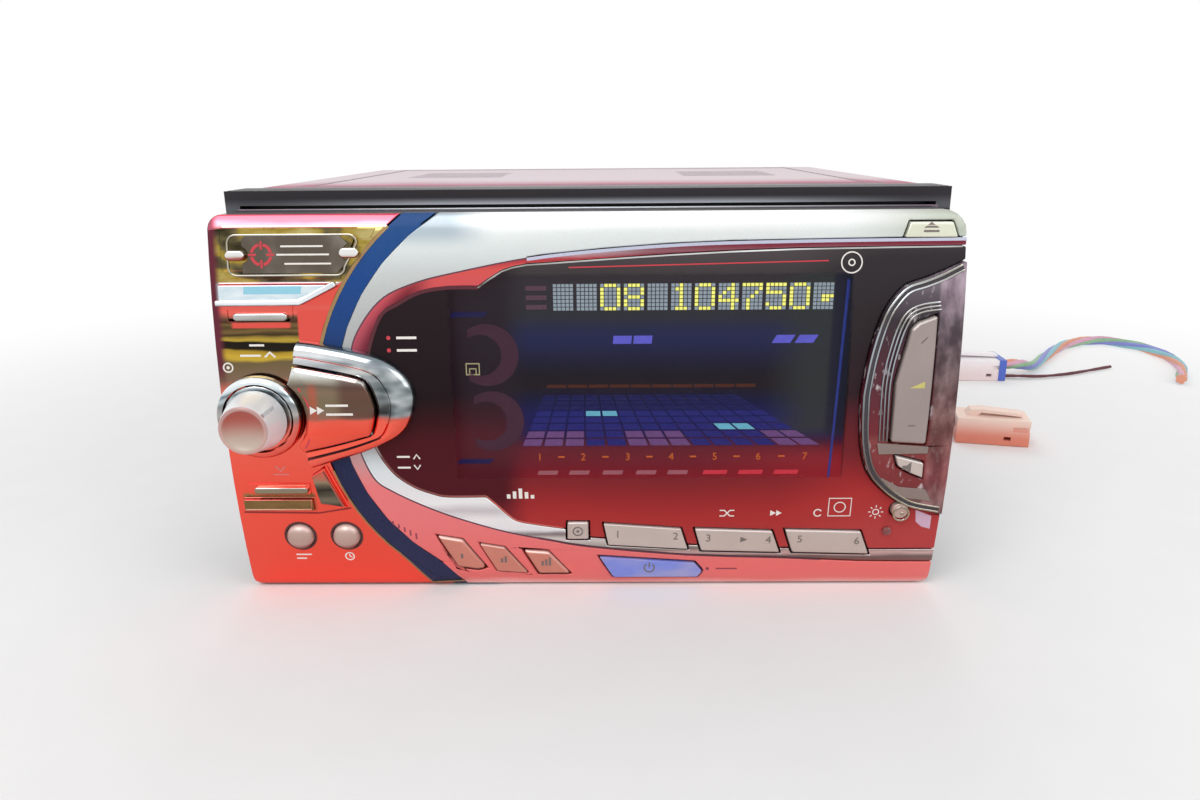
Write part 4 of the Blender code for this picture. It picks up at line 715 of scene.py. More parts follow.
# Nose
# A black moulded frame that closes the front of the sleeve, with a ridge along its top, the ears
# of the hinge at its foot, and the fascia with both slots, their felt lips and eject keys.
RIDGE_ROWS = ((-65.6, -64.2), (-61.4, -60.2), (-57.6, -56.6))
RIDGE_HALF, RIDGE_FOOT, RIDGE_TOP = 91, 101.1, 103
FELT_HALF, FELT_START, FELT_END, FELT_LIPS = 62, -58.2, -57.0, ((71.4, 73.7), (74.3, 76.6))
DOOR_LOW, DOOR_HIGH = (-35.2, -58.2, 26.9), (35.2, -57.3, 33.1)
NOSE_BLACK, NOSE_PAINTED_HIGHLIGHT = (38, 34, 40), (226, 232, 242)
nose_black = grained("nose_black", NOSE_BLACK, 0.34, drift=0.2, grain=1600, stretch=(0.2, 1, 1))
gloss = Finish("nose_gloss", Specular_IOR_Level=0.3)
fine = gloss.noise(1600, (0.2, 1, 1))
# A pale line painted along the step of the nose is a highlight: it faces forward and fades toward the ends.
painted_highlight = gloss.past(2, 0.0998, 0.0970) * gloss.past(2, 0.0958, 0.0966)
ends = gloss.past(0, -0.088, -0.03) * gloss.past(0, 0.088, 0.03)
painted_highlight = painted_highlight * gloss.rise(0 - gloss.slope(1), 0.5, 0.9) * (ends * 0.75 + 0.1)
gloss.set(Base_Color=gloss.mix(painted_highlight, tone(*NOSE_BLACK), tone(*NOSE_PAINTED_HIGHLIGHT)), Roughness=fine * 0.12 + 0.28)
grooves = [block((-RIDGE_HALF, y0, RIDGE_FOOT), (RIDGE_HALF, y1, RIDGE_TOP)) for y0, y1 in RIDGE_ROWS]
nose = changed(own_copy("nose_frame"), grooves)
settle("nose_moulding", nose, gloss.material, "chassis", 0.25, ("nose_frame",))
dress("inner_fascia", nose_black, 0.2)
dress("disc_eject_key", dark_moulding, 0.3)
dress("cartridge_eject_key", dark_moulding, 0.3)
felt = Finish("slot_felt", Roughness=0.95, Sheen_Weight=0.4)
fibres = felt.noise(2600, (1, 1, 0.2), 2.0)
felt.set(
    Base_Color=felt.mix(fibres, tone(24, 24, 26), tone(58, 56, 58)), Normal=felt.bump(fibres, 0.0001)
)
lips = [block((-FELT_HALF, FELT_START, low), (FELT_HALF, FELT_END, high)) for low, high in FELT_LIPS]
settle("disc_slot_felt", lips, felt.material, "chassis", 0.15)
settle("cartridge_door", block(DOOR_LOW, DOOR_HIGH), dark_moulding, "chassis", 0.3)


# Face body
# Moulded shell of the fold-down face, its back cover with the hinge barrels and ribs, and the
# circuit board between them; it meets the chassis through a row of sprung gold contacts.
PANEL_LIFT, PANEL_HIGH, HALF = 0.3, 96.6, 89.0
BULGE, EDGE_ROLL, EDGE_ROLL_HIGH = 5.0, 1.0, 3.5
BAND_SHARES = (
    0, 0.012, 0.036, 0.12, 0.22, 0.32, 0.42, 0.5, 0.58, 0.68, 0.78, 0.88, 0.964, 0.988, 1,
)
COVER_BACK = -66.8
MARK_OUT, MARK_IN = 0.06, 0.05
RIB_WIDE, RIB_OUT, RIB_DEEP = 1.2, 0.35, 0.2
UPRIGHT_RIBS, RIB_FOOT, RIB_TOP = (-70, -46, 46, 70), 14, 90
LEVEL_RIBS, LEVEL_RIB_HALF = (12, 50), 84
CONTACT_COUNT, CONTACT_LEFT, CONTACT_PITCH, CONTACT_WIDE = 12, -19, 3.2, 1.6
CONTACT_FOOT, CONTACT_TOP, CONTACT_OUT = 20, 27, 0.25
BACK_SCREWS, BACK_SCREW_RADIUS = ((-82, 90), (82, 90), (-82, 18), (82, 18), (30, 44), (-30, 44)), 1.7
BEAD_LOW, BEAD_HIGH = (-86.4, -68.0, 96.2), (86.4, -67.2, 97.2)


def crown(share):
    from_edge = min(share, 1 - share) * PANEL_HIGH
    roll = max(0, 1 - from_edge / EDGE_ROLL_HIGH)
    return BULGE * (1 - (2 * share - 1) ** 2) - EDGE_ROLL * roll**2


def bulge(z):
    """How far the face stands ahead of its edges at a height, flat within each band."""
    share = min(max(z / PANEL_HIGH, 0), 1)
    for low, high in zip(BAND_SHARES, BAND_SHARES[1:]):
        if share <= high:
            return crown(low) + (share - low) / (high - low) * (crown(high) - crown(low))
    return crown(1)


def on_face(x, out, z):
    """Places an outline on the bulged face, out millimetres proud of its skin."""
    return Vector((x, FACE_Y - bulge(z) - out, PANEL_LIFT + z))


def scaled(shares):
    return [(x * HALF, z * PANEL_HIGH) for x, z in shares]


def mark(outline, proud=0.0, place=on_face, out=MARK_OUT):
    """A thin printed shape that is sunk a little into the surface under it."""
    return prism(outline, proud - MARK_IN, proud + out, place)


def ribbon(points, wide, proud=0.0, place=on_face, closed=False, out=MARK_OUT, deep=MARK_IN):
    """A flat strip along a line, as a closed shape."""
    shape = bmesh.new()
    count = len(points)
    sections = []
    for i, (a, b) in enumerate(points):
        before = points[i - 1] if closed or i else points[i]
        after = points[(i + 1) % count] if closed or i < count - 1 else points[i]
        along = Vector((after[0] - before[0], after[1] - before[1])).normalized()
        left, right = ((a - s * along.y, b + s * along.x) for s in (wide / 2, -wide / 2))
        corners = ((left, out), (right, out), (right, -deep), (left, -deep))
        sections.append([shape.verts.new(place(p[0], proud + rise, p[1])) for p, rise in corners])
    for i in range(count if closed else count - 1):
        one, two = sections[i], sections[(i + 1) % count]
        for k in range(4):
            shape.faces.new((one[k], one[(k + 1) % 4], two[(k + 1) % 4], two[k]))
    if not closed:
        shape.faces.new(sections[0][::-1])
        shape.faces.new(sections[-1])
    return shape


def lofted(loops, ring=False):
    """A closed shape through loops of equal length: capped at both ends, or joined end to end."""
    shape = bmesh.new()
    rows = [[shape.verts.new(place) for place in loop] for loop in loops]
    for one, two in zip(rows, rows[1:] + rows[:1] if ring else rows[1:]):
        for i in range(len(one)):
            j = (i + 1) % len(one)
            shape.faces.new((one[i], one[j], two[j], two[i]))
    for row in () if ring else (rows[0], rows[-1]):
        shape.faces.new(row)
    return shape


def spread(points, count):
    """The line again with count points at even steps."""
    lengths = [math.dist(a, b) for a, b in zip(points, points[1:])]
    found = []
    for i in range(count):
        left = sum(lengths) * i / (count - 1)
        for (a, b), length in zip(zip(points, points[1:]), lengths):
            if left <= length + 1e-9:
                break
            left -= length
        share = min(1, left / length)
        found.append((a[0] + (b[0] - a[0]) * share, a[1] + (b[1] - a[1]) * share))
    return found


def shifted(points, away):
    """An open line moved sideways, to its right for a positive distance."""
    moved = []
    for i, (x, z) in enumerate(points):
        a, b = points[max(i - 1, 0)], points[min(i + 1, len(points) - 1)]
        along = Vector((b[0] - a[0], b[1] - a[1])).normalized()
        moved.append((x + along.y * away, z - along.x * away))
    return moved


def arc(centre, radius, start, end, steps=16):
    angles = [math.radians(start + (end - start) * i / steps) for i in range(steps + 1)]
    return [(centre[0] + radius * math.cos(a), centre[1] + radius * math.sin(a)) for a in angles]


def numeral(text, x, z, size, proud=0.0, place=on_face):
    """A number in plain type, as a thin closed shape."""
    curve = bpy.data.curves.new("numeral", "FONT")
    curve.body = text
    curve.size = size
    curve.extrude = (MARK_OUT + MARK_IN) / 2
    curve.resolution_u = 3
    curve.align_x = "CENTER"
    curve.align_y = "CENTER"
    holder = bpy.data.objects.new("numeral", curve)
    bpy.context.scene.collection.objects.link(holder)
    graph = bpy.context.evaluated_depsgraph_get()
    mesh = bpy.data.meshes.new_from_object(holder.evaluated_get(graph), depsgraph=graph)
    shape = bmesh.new()
    shape.from_mesh(mesh)
    bmesh.ops.remove_doubles(shape, verts=shape.verts, dist=1e-4)
    bpy.data.objects.remove(holder)
    bpy.data.curves.remove(curve)
    bpy.data.meshes.remove(mesh)
    middle = proud + (MARK_OUT - MARK_IN) / 2
    for corner in shape.verts:
        a, b, c = corner.co
        corner.co = place(x + a, middle + c, z + b)
    return shape


def on_cover_back(x, out, z):
    return Vector((x, COVER_BACK + out, PANEL_LIFT + z))


shell_black = grained("shell_black", (44, 40, 44), 0.42, drift=0.15, grain=1500)
dress("panel_shell", shell_black, 0.2)
dress("panel_back_cover", shell_black, 0.2)
dress("panel_board", green_board.material)
lines = [[(x, RIB_FOOT), (x, RIB_TOP)] for x in UPRIGHT_RIBS]
lines += [[(-LEVEL_RIB_HALF, z), (LEVEL_RIB_HALF, z)] for z in LEVEL_RIBS]
ribs = [ribbon(line, RIB_WIDE, place=on_cover_back, out=RIB_OUT, deep=RIB_DEEP) for line in lines]
settle("cover_ribs", ribs, shell_black, edge=0.1)
contacts = []
for k in range(CONTACT_COUNT):
    left = CONTACT_LEFT + CONTACT_PITCH * k
    outline = box_outline((left, CONTACT_FOOT), (left + CONTACT_WIDE, CONTACT_TOP))
    contacts.append(mark(outline, place=on_cover_back, out=CONTACT_OUT))
settle("cover_contacts", contacts, pin_gold, edge=0.05)
places = [on_cover_back(x, 0, z) for x, z in BACK_SCREWS]
heads = [screw_shape(place, (0, 1, 0), BACK_SCREW_RADIUS) for place in places]
settle("cover_back_screws", heads, screw_steel, edge=0.1)
# A bead along the face's top edge, painted pale in its middle as a highlight and darker toward its ends.
bead_highlight = Finish("head_bead_highlight", Metallic=0.5, Roughness=0.3)
share = bead_highlight.past(0, -0.09, 0.0) * bead_highlight.past(0, 0.09, 0.01)
bead_highlight.set(Base_Color=bead_highlight.mix(share, tone(120, 104, 116), tone(222, 228, 234)))
settle("head_bead_highlight", block(BEAD_LOW, BEAD_HIGH), bead_highlight.material, edge=0.15)


# Display
# A lit panel behind the lens: twelve dot-matrix cells, a blue picture of a room with level bars
# on its floor, a row of numbers and two curved loudspeaker rings, all of coloured light. Its
# backdrop glows with the picture seen through the smoked lens and with the lens's red reflection
# of the surroundings painted into its lower part.
DISPLAY_DEEP, LIT_DIM = 0.4, 0.75
CELL_LEFT, CELL_PITCH, CELL_WIDE = -8.1, 5.68, 5.0
CELL_FOOT, CELL_TOP = 73.2, 79.8
DOT_GAP = 0.2
DIGITS = {
    "0": (14, 17, 17, 17, 17, 17, 14), "1": (4, 12, 4, 4, 4, 4, 14), "4": (2, 6, 10, 18, 31, 2, 2),
    "5": (31, 16, 30, 1, 1, 17, 14), "7": (31, 1, 2, 4, 8, 8, 8), "8": (14, 17, 17, 14, 17, 17, 14),
    "-": (0, 0, 0, 7, 6, 0, 0),
}
SHOWN_DIGITS = "  08 104750-"
FAN_FOOT, FAN_TOP = (-17, 59, 38.5), (-11, 37, 52.0)
FAN_COLUMNS, FAN_ROWS = 14, 9
TILE_CORNERS = ((0.07, 0.1), (0.93, 0.1), (0.93, 0.9), (0.07, 0.9))
PURPLE_COLUMNS = (0, 1, 2, 5, 6, 7, 12, 13)
SCALE_PLACES, SCALE_Z, SCALE_SIZE = (-12.3, -1.3, 10, 21, 32, 43, 54.7), 35.6, 2.7
TICK_FOOT, TICK_LONG, TICK_HIGH = 35.5, 1.6, 0.4
CEILING_BARS, CEILING_Z = ((6.3, 0.2), (11.3, 0.2), (45, 1.2), (50.6, 1.2)), 65
MID_DASHES, MID_DASH_LEFT, MID_DASH_PITCH, MID_DASH_Z = 10, -10, 5.2, 53.9
TITLE_LEFT, TITLE_ZS, STREAK_LEFT, STREAK_ZS = -14.6, (73.6, 75.9, 78.2), -33.5, (71.8, 34.0)
SEGMENTS, RED_SEGMENTS, SEGMENT_Z = (-13, -5, 3.5, 12, 20), (29, 38, 47), 30.9
RING_CENTRES, RING_REACH = ((-24.6, 62.3), (-23.8, 45.3)), 7.8
CARD = ((-29.8, 57.4), (-26.6, 57.4), (-26.6, 60.2), (-29.8, 60.2))
CARD_NOTCH = ((-29.0, 57.6), (-29.0, 58.9), (-27.4, 58.9), (-27.4, 57.6))
SIDE_LINE = (
    (60.7, 29.7), (61.3, 29.7), (61.9, 45), (63.0, 78), (63.0, 80.4), (62.3, 80.4), (62.3, 78), (61.3, 45),
)
# The lens's left end by height: dark smoke above and a painted red reflection of the surroundings low down.
LEFT_SMOKE_AND_RED_REFLECTION = (
    (0.23, (112, 34, 42)), (0.265, (78, 24, 32)), (0.42, (74, 22, 28)), (0.47, (54, 18, 24)),
    (0.53, (30, 18, 22)), (0.80, (38, 28, 32)),
)
# The backdrop's glow by height: the picture through the smoke, with the lens's red reflection painted into
# it low down.
PICTURE_AND_RED_REFLECTION_BANDS = (
    (0.24, (156, 42, 46)), (0.27, (140, 36, 42)), (0.30, (124, 30, 38)), (0.34, (106, 26, 34)),
    (0.38, (94, 24, 32)), (0.402, (58, 20, 44)), (0.42, (26, 18, 66)), (0.47, (16, 18, 76)),
    (0.51, (10, 12, 48)), (0.545, (24, 14, 14)), (0.58, (20, 14, 22)), (0.62, (22, 22, 48)),
    (0.66, (28, 32, 70)), (0.69, (32, 36, 66)), (0.715, (40, 42, 50)), (0.74, (44, 42, 44)),
    (0.86, (52, 44, 48)),
)
# Patches of the backdrop's glow: left, right, low, high, share and colour; the red one is a painted
# reflection.
PICTURE_AND_RED_REFLECTION_PATCHES = (
    (0.042, 0.056, 0.400, 0.440, 0.9, (44, 48, 46)), (0.0588, 0.0600, 0.400, 0.440, 0.8, (20, 22, 40)),
    (0.024, 0.060, 0.400, 0.340, 0.8, (138, 34, 40)),
)


def lit(name, colour, strength):
    """Coloured light through a fine mesh, a little uneven."""
    finish = Finish(
        name, Base_Color=(0.01, 0.01, 0.012), Roughness=0.4, Specular_IOR_Level=0.1,
        Emission_Strength=strength,
    )
    cells = finish.noise(900, detail=1.0)
    bright = tone(*colour)
    return finish.set(Emission_Color=finish.mix(cells, tuple(c * LIT_DIM for c in bright), bright))


def on_display(x, out, z):
    return Vector((x, FACE_Y + DISPLAY_DEEP - out, PANEL_LIFT + z))


def tile(left, foot, wide, high, lean=0.0):
    """A thin four-sided tile whose top is shifted sideways by lean."""
    right, top = left + wide, foot + high
    return mark([(left, foot), (right, foot), (right + lean, top), (left + lean, top)], place=on_display)


def fan_point(column, row):
    """A corner of the level bars' floor: it narrows and its rows close up as they go back."""
    back = 1 - (1 - row / FAN_ROWS) ** 1.5
    left, right, z = (a + (b - a) * back for a, b in zip(FAN_FOOT, FAN_TOP))
    return (left + (right - left) * column / FAN_COLUMNS, z)


def bar_colour(column, row):
    if (column in (3, 4) and row == 4) or (column in (10, 11) and row == 2):
        return "teal"
    if row < 2 and column in PURPLE_COLUMNS:
        return "purple"
    return "far_blue" if row > 4 else "deep_blue"


def crescent(centre):
    """A curved stroke, thick at the right and thin at both ends."""
    outer = arc(centre, RING_REACH, -125, 125, 28)
    inner = arc((centre[0] - 1.6, centre[1]), RING_REACH - 2.6, 125, -125, 28)
    return mark([*outer, *inner], place=on_display)


picture = Finish("display_picture_and_red_reflection", Roughness=0.35, Specular_IOR_Level=0.1, Emission_Strength=1.0)
height = picture.place(2) * 10
glow = picture.bands(height, PICTURE_AND_RED_REFLECTION_BANDS)
glow = picture.mix(picture.past(0, -0.014, -0.022), glow, picture.bands(height, LEFT_SMOKE_AND_RED_REFLECTION))
for left, right, low, high, share, colour in PICTURE_AND_RED_REFLECTION_PATCHES:
    where = picture.past(0, left, right) * picture.rise(height, low, high)
    glow = picture.mix(where * share, glow, tone(*colour))
picture.set(Base_Color=(0.006, 0.006, 0.01), Emission_Color=glow)
dress("display_module", picture.material)
dashes = [
    tile(MID_DASH_LEFT + MID_DASH_PITCH * k, MID_DASH_Z, 4.7, 0.8) for k in range(MID_DASHES)
]
step_x, step_z = CELL_WIDE / 5, (CELL_TOP - CELL_FOOT) / 7
dots = {True: [], False: []}
for k, digit in enumerate(SHOWN_DIGITS):
    rows = DIGITS.get(digit, (0,) * 7)
    for row, column in itertools.product(range(7), range(5)):
        left = CELL_LEFT + CELL_PITCH * k + step_x * (column + DOT_GAP / 2)
        foot = CELL_TOP - step_z * (row + 1 - DOT_GAP / 2)
        dot = tile(left, foot, step_x * (1 - DOT_GAP), step_z * (1 - DOT_GAP))
        dots[bool(rows[row] >> (4 - column) & 1)].append(dot)
bars = {"teal": [], "purple": [], "deep_blue": [], "far_blue": []}
for column, row in itertools.product(range(FAN_COLUMNS), range(FAN_ROWS)):
    outline = [fan_point(column + a, row + b) for a, b in TILE_CORNERS]
    bars[bar_colour(column, row)].append(mark(outline, place=on_display))
scale = [
    numeral(str(k + 1), x, SCALE_Z, SCALE_SIZE, place=on_display) for k, x in enumerate(SCALE_PLACES)
]
for a, b in zip(SCALE_PLACES, SCALE_PLACES[1:]):
    scale.append(tile((a + b - TICK_LONG) / 2, TICK_FOOT, TICK_LONG, TICK_HIGH))
card = [
    ribbon(CARD, 0.35, place=on_display, closed=True), ribbon(CARD_NOTCH, 0.3, place=on_display),
]
for name, colour, strength, shapes in (
    ("dots_pale", (160, 174, 186), 0.9, dots[False]),
    ("dots_yellow", (240, 238, 120), 1.3, dots[True]),
    ("bars_deep_blue", (34, 36, 130), 0.7, bars["deep_blue"]),
    ("bars_far_blue", (24, 26, 104), 0.6, bars["far_blue"]),
    ("bars_purple", (132, 88, 152), 0.62, bars["purple"]),
    ("bars_teal", (110, 186, 212), 0.9, bars["teal"]),
    ("ceiling_bars", (104, 102, 222), 0.85, [tile(x, CEILING_Z, 4.5, 2, lean) for x, lean in CEILING_BARS]),
    ("side_line", (56, 72, 164), 0.6, [mark(SIDE_LINE, place=on_display)]),
    ("mid_dashes", (112, 50, 24), 0.42, dashes),
    ("scale_numbers", (214, 106, 36), 0.85, scale),
    ("lower_segments", (180, 108, 118), 0.75, [tile(x, SEGMENT_Z, 5.0, 1.1, 0.4) for x in SEGMENTS]),
    ("lower_segments_red", (222, 62, 76), 0.85, [tile(x, SEGMENT_Z, 6.0, 1.1, 0.4) for x in RED_SEGMENTS]),
    ("title_rows", (124, 88, 106), 0.5, [tile(TITLE_LEFT, z, 5, 1.1) for z in TITLE_ZS]),
    ("speaker_rings", (92, 50, 72), 0.5, [crescent(centre) for centre in RING_CENTRES]),
    ("speaker_streaks", (48, 44, 130), 0.28, [tile(STREAK_LEFT, z, 8.5, 1.3, 1.2) for z in STREAK_ZS]),
    ("card_icon", (206, 196, 150), 0.75, card),
):
    settle("display_" + name, shapes, lit(name + "_glow", colour, strength))


# Left skin
# Plated plastic, mirror bright, moulded with a ledge, a lip and a wedge; bands of gold, black
# and red are painted into its plating as reflections of the surroundings, white bands as painted
# highlights. A framed plaque and two light bars sit in it.
UPPER_BAR, LOWER_BAR = ((-83.8, 72.1), (-70.7, 74.1)), ((-83.7, 28.2), (-70.0, 30.0))
BAR_OUT, BAR_SEATS = 1.4, (((-85.1, 72.6), (-69.7, 75.9)), ((-85.1, 27.5), (-69.7, 30.8)))
LEDGE_LEAN = 1.98
PLAQUE_EDGE = ((-0.962, 0.858), (-0.655, 0.858), (-0.605, 0.959), (-0.962, 0.959))
PLAQUE_GAP = ((-55.4, 91.0), (-50.6, 91.0), (-49.2, 93.4), (-55.4, 93.4))
FRAME_CORNERS, FRAME_RADIUS = ((-55.6, 90.1), (-82.3, 90.1), (-82.3, 84.6), (-58.6, 84.6)), 1.9
PLATE_FOOT, PLATE_HEAD = ((-58.6, 83.2), (-80.8, 83.2)), ((-80.8, 91.2), (-79.8, 91.8), (-57.6, 91.8))
NOTCH_LEFT, NOTCH_RIGHT, NOTCH_RADIUS = (-81.3, 87.4), (-55.3, 87.9), 2.0
PEGS, PEG_HALF_LONG, PEG_HALF_WIDE = ((-82.2, 87.4), (-55.4, 87.9)), 2.3, 1.15
PLATE_PROUD = 0.6
TARGET, TARGET_RADIUS, TICK_REACH = (-76.2, 87.5), 2.3, (1.2, 3.1)
RULES, RULE_HIGH = ((-71.6, 89.2, 10), (-72.6, 87.3, 12.4), (-70.8, 85.2, 11)), 0.4
LIP_LINE = ((-87.6, 76.4), (-67.7, 76.5), (-59.0, 80.9))
INSET = ((-80.7, 78.5), (-67.2, 78.5), (-66.9, 80.4), (-80.5, 80.4))
HEAD_HIGHLIGHT_LINE, CREASE_LINE = ((-85.4, 93.9), (-46.6, 93.9)), ((-87.6, 22.6), (-68.4, 22.3), (-60.2, 23.7))
LIP_RIM = ((-86.4, 23.8), (-69.8, 23.8), (-69.5, 26.4))
WEDGE_RIM, WEDGE_HEEL, WEDGE_PROUD = ((-68.3, 32.9), (-65.6, 34.6), (-61.4, 24.8)), (-67.1, 25.8), 1.3
ROUND_SIGN, CLOCK_SIGN, SIGN_RADIUS = (-86.4, 60.8), (-62.3, 9.3), 1.1
UP_SIGN, DOWN_SIGN, DOWN_DASH = (-76.0, 63.3, 2.5, 1.2), (-76.6, 35.4, 2.4, -1.3), (-78.6, 33.2, 4.0, 0.4)
DASHES = ((-80.8, 66.2, 3.6, 0.5), (-83.2, 63.7, 5.0, 0.5), (-76.2, 9.9, 4.0, 0.4), (-76.2, 8.7, 2.6, 0.4))
# Colours of the plated face by height, all painted reflections of the surroundings; their white bands are
# painted highlights.
PLATE_RED_REFLECTION = (226, 88, 78)
FASCIA_BANDS = (
    (0.00, (244, 92, 76)), (0.30, (246, 92, 74)), (0.50, (238, 104, 88)), (0.565, (214, 118, 100)),
    (0.585, (128, 104, 84)), (0.63, (112, 96, 66)), (0.638, (206, 172, 62)), (0.652, (176, 144, 52)),
    (0.656, (40, 34, 26)), (0.672, (34, 30, 26)), (0.677, (196, 166, 66)), (0.686, (150, 124, 56)),
    (0.692, (52, 44, 34)), (0.704, (126, 100, 62)), (0.712, (76, 62, 42)), (0.720, (124, 100, 62)),
    (0.727, (70, 46, 36)), (0.741, (120, 84, 66)), (0.745, (232, 104, 92)), (0.765, (224, 96, 86)),
    (0.930, (150, 130, 80)), (0.940, (226, 100, 112)), (0.960, (236, 134, 152)), (0.972, (226, 96, 112)),
)
GOLD_REFLECTION_BANDS = (
    (0.38, (56, 50, 34)), (0.48, (104, 94, 66)), (0.55, (164, 140, 58)), (0.66, (190, 174, 112)),
)
CHROME_BANDS = (
    (0.0, (170, 80, 72)), (0.2, (230, 120, 106)), (0.36, (116, 86, 78)), (0.5, (220, 216, 210)),
    (0.62, (100, 94, 86)), (0.74, (236, 238, 238)), (0.83, (96, 88, 76)), (0.93, (240, 242, 242)),
    (1.0, (170, 160, 160)),
)
BRIGHT_BANDS = (
    (0.20, (176, 150, 130)), (0.27, (150, 140, 116)), (0.34, (120, 104, 98)), (0.50, (126, 126, 130)),
    (0.68, (172, 178, 184)), (0.725, (146, 142, 134)), (0.745, (186, 186, 184)), (0.78, (226, 232, 236)),
    (0.82, (150, 146, 132)), (0.87, (196, 190, 176)), (0.92, (168, 158, 140)), (0.94, (226, 222, 216)),
)
DARK_BANDS = (
    (0.23, (120, 96, 74)), (0.25, (60, 54, 48)), (0.27, (124, 116, 98)), (0.29, (50, 46, 42)),
    (0.31, (150, 134, 110)), (0.34, (230, 90, 74)),
)
PEG_BANDS = (
    (0.868, (140, 66, 58)), (0.875, (176, 104, 96)), (0.878, (206, 198, 190)), (0.884, (232, 232, 230)),
)
LEDGE_BANDS = ((0.762, (176, 180, 184)), (0.77, (240, 246, 250)), (0.81, (214, 220, 226)))


def plated(
    name, bands, up=(250, 252, 252), reflection_below=(150, 40, 36), wobble=0.05, rough=0.10, patch=None, **fixed
):
    """Mirror plating with painted reflections in bands by height, a painted highlight on faces
    that look up and a painted reflection of what lies below on faces that look down.
    """
    finish = Finish(name, Metallic=0.95, **fixed)
    ripple = finish.noise(60, (0.5, 0.5, 2.2), 3.0)
    fine = finish.noise(420, (0.25, 1, 1), 2.0)
    height = finish.place(2) * 10 + (ripple - 0.5) * wobble
    shade = finish.bands(height + (fine - 0.5) * 0.012 + finish.slope(2) * 0.03, bands)
    if patch:
        shade = patch(finish, shade)
    # A painted highlight on faces that look up, a painted reflection of what lies below on faces that look
    # down.
    shade = finish.mix(finish.rise(finish.slope(2), 0.35, 0.8), shade, tone(*up))
    shade = finish.mix(finish.rise(0 - finish.slope(2), 0.35, 0.85), shade, tone(*reflection_below))
    return finish.set(
        Base_Color=shade, Roughness=fine * 0.06 + (rough - 0.03), Normal=finish.bump(ripple, 0.00003)
    )


def fascia_patch(finish, shade):
    """Painted reflections that change sideways: gold round the plaque, silver on the ledge,
    red right of the bars, dark gold in the lower bar's trough and maroon down the left edge.
    """
    lean = finish.place(0) - finish.place(2) * LEDGE_LEAN
    speckle = finish.noise(150, (0.6, 1, 1.4), 3.0)
    shade = finish.mix(finish.within(2, 0.0812, 0.0941), shade, finish.bands(speckle, GOLD_REFLECTION_BANDS))
    beyond = finish.rise(lean, -0.2192, -0.2184) * finish.within(2, 0.0760, 0.0812)
    strip = finish.within(0, -0.0845, -0.0706) * finish.within(2, 0.0706, 0.0719, 0.0002)
    shade = finish.mix(beyond + strip, shade, tone(*PLATE_RED_REFLECTION))
    side = finish.past(0, -0.0690, -0.0684) * finish.within(2, 0.0640, 0.0750)
    shade = finish.mix(side, shade, tone(*PLATE_RED_REFLECTION))
    silver = finish.mix(finish.noise(180, (1, 1, 3)), tone(176, 206, 220), tone(252, 254, 255))
    ledge = finish.rise(lean, -0.2184, -0.2192) * finish.within(2, 0.0764, 0.0812)
    shade = finish.mix(ledge, shade, silver)
    trough = finish.within(2, 0.0234, 0.0282) * finish.within(0, -0.0870, -0.0690)
    shade = finish.mix(trough, shade, finish.mix(speckle, tone(60, 44, 26), tone(168, 132, 84)))
    rim = finish.past(0, -0.0862, -0.0880) * finish.past(2, 0.0540, 0.0620)
    return finish.mix(rim, shade, tone(104, 48, 60))


def slot_outline(centre, half_long, half_wide):
    """A slot with round ends."""
    reach = half_long - half_wide
    right = arc((centre[0] + reach, centre[1]), half_wide, -90, 90, 6)
    return [*right, *arc((centre[0] - reach, centre[1]), half_wide, 90, 270, 6)]


def chevron(x, z, wide, high, thick=0.5):
    return ribbon([(x - wide / 2, z), (x, z + high), (x + wide / 2, z)], thick)


def dash(left, z, long, thick):
    return ribbon([(left, z), (left + long, z)], thick)


# All these platings carry painted reflections: the fascia is painted red low down with the reflection of red
# surroundings and gold and black above; pegs, bars and wedge likewise.
red_reflection_plating = plated("red_reflection_plating", FASCIA_BANDS, (200, 76, 94), (214, 76, 62), patch=fascia_patch)
chrome = plated("chrome", CHROME_BANDS, reflection_below=(110, 76, 70), wobble=0.3)
bright = plated("bright_plating", BRIGHT_BANDS, reflection_below=(92, 64, 54), wobble=0.08)
dark_mirror = plated("dark_mirror", DARK_BANDS, wobble=0.09)
ledge_white_reflection = plated("ledge_white_reflection", LEDGE_BANDS, reflection_below=(140, 70, 64))
peg_plating = plated("peg_plating", PEG_BANDS, wobble=0.01)
plaque_metal = Finish("plaque_metal", Metallic=0.6, Roughness=0.3)
cloud = plaque_metal.rise(plaque_metal.noise(70, (1, 1, 0.6), 3.0), 0.35, 0.65)
plaque_metal.set(Base_Color=plaque_metal.mix(cloud, tone(88, 78, 68), tone(142, 136, 126)))
sky = grained("sky_reflection_plate", (150, 206, 226), 0.2, 0.6)
crease = grained("crease_shadow", (150, 40, 40), 0.3, 0.4)
red_print = grained("red_print", (196, 52, 64), 0.4)
white_print = grained("white_print", (232, 226, 220), 0.4)
rose_print = grained("rose_print", (226, 120, 112), 0.4)

dress("left_fascia", red_reflection_plating, 0.35, clamp=False)
dress("plaque", red_reflection_plating, 0.2)
seams = [ribbon(scaled(PLAQUE_EDGE), 2.1, closed=True, out=0.34, deep=0.3), mark(PLAQUE_GAP, out=0.3)]
settle("fascia_seams", seams, red_reflection_plating, edge=0.1)
frame_line = []
for k, centre in enumerate(FRAME_CORNERS):
    frame_line += arc(centre, FRAME_RADIUS, 90 * k, 90 * k + 90, 6)
settle("plaque_frame", ribbon(frame_line, 0.42, 0.3, closed=True, out=0.4, deep=0.6), bright, edge=0.12)
left = arc(NOTCH_LEFT, NOTCH_RADIUS, -75, 75, 8)
right = arc(NOTCH_RIGHT, NOTCH_RADIUS, 105, 255, 8)
plate_line = [*PLATE_FOOT, *left, *PLATE_HEAD, *right]
settle("plaque_plate", mark(plate_line, 0.3, out=0.3), plaque_metal.material, edge=0.1)
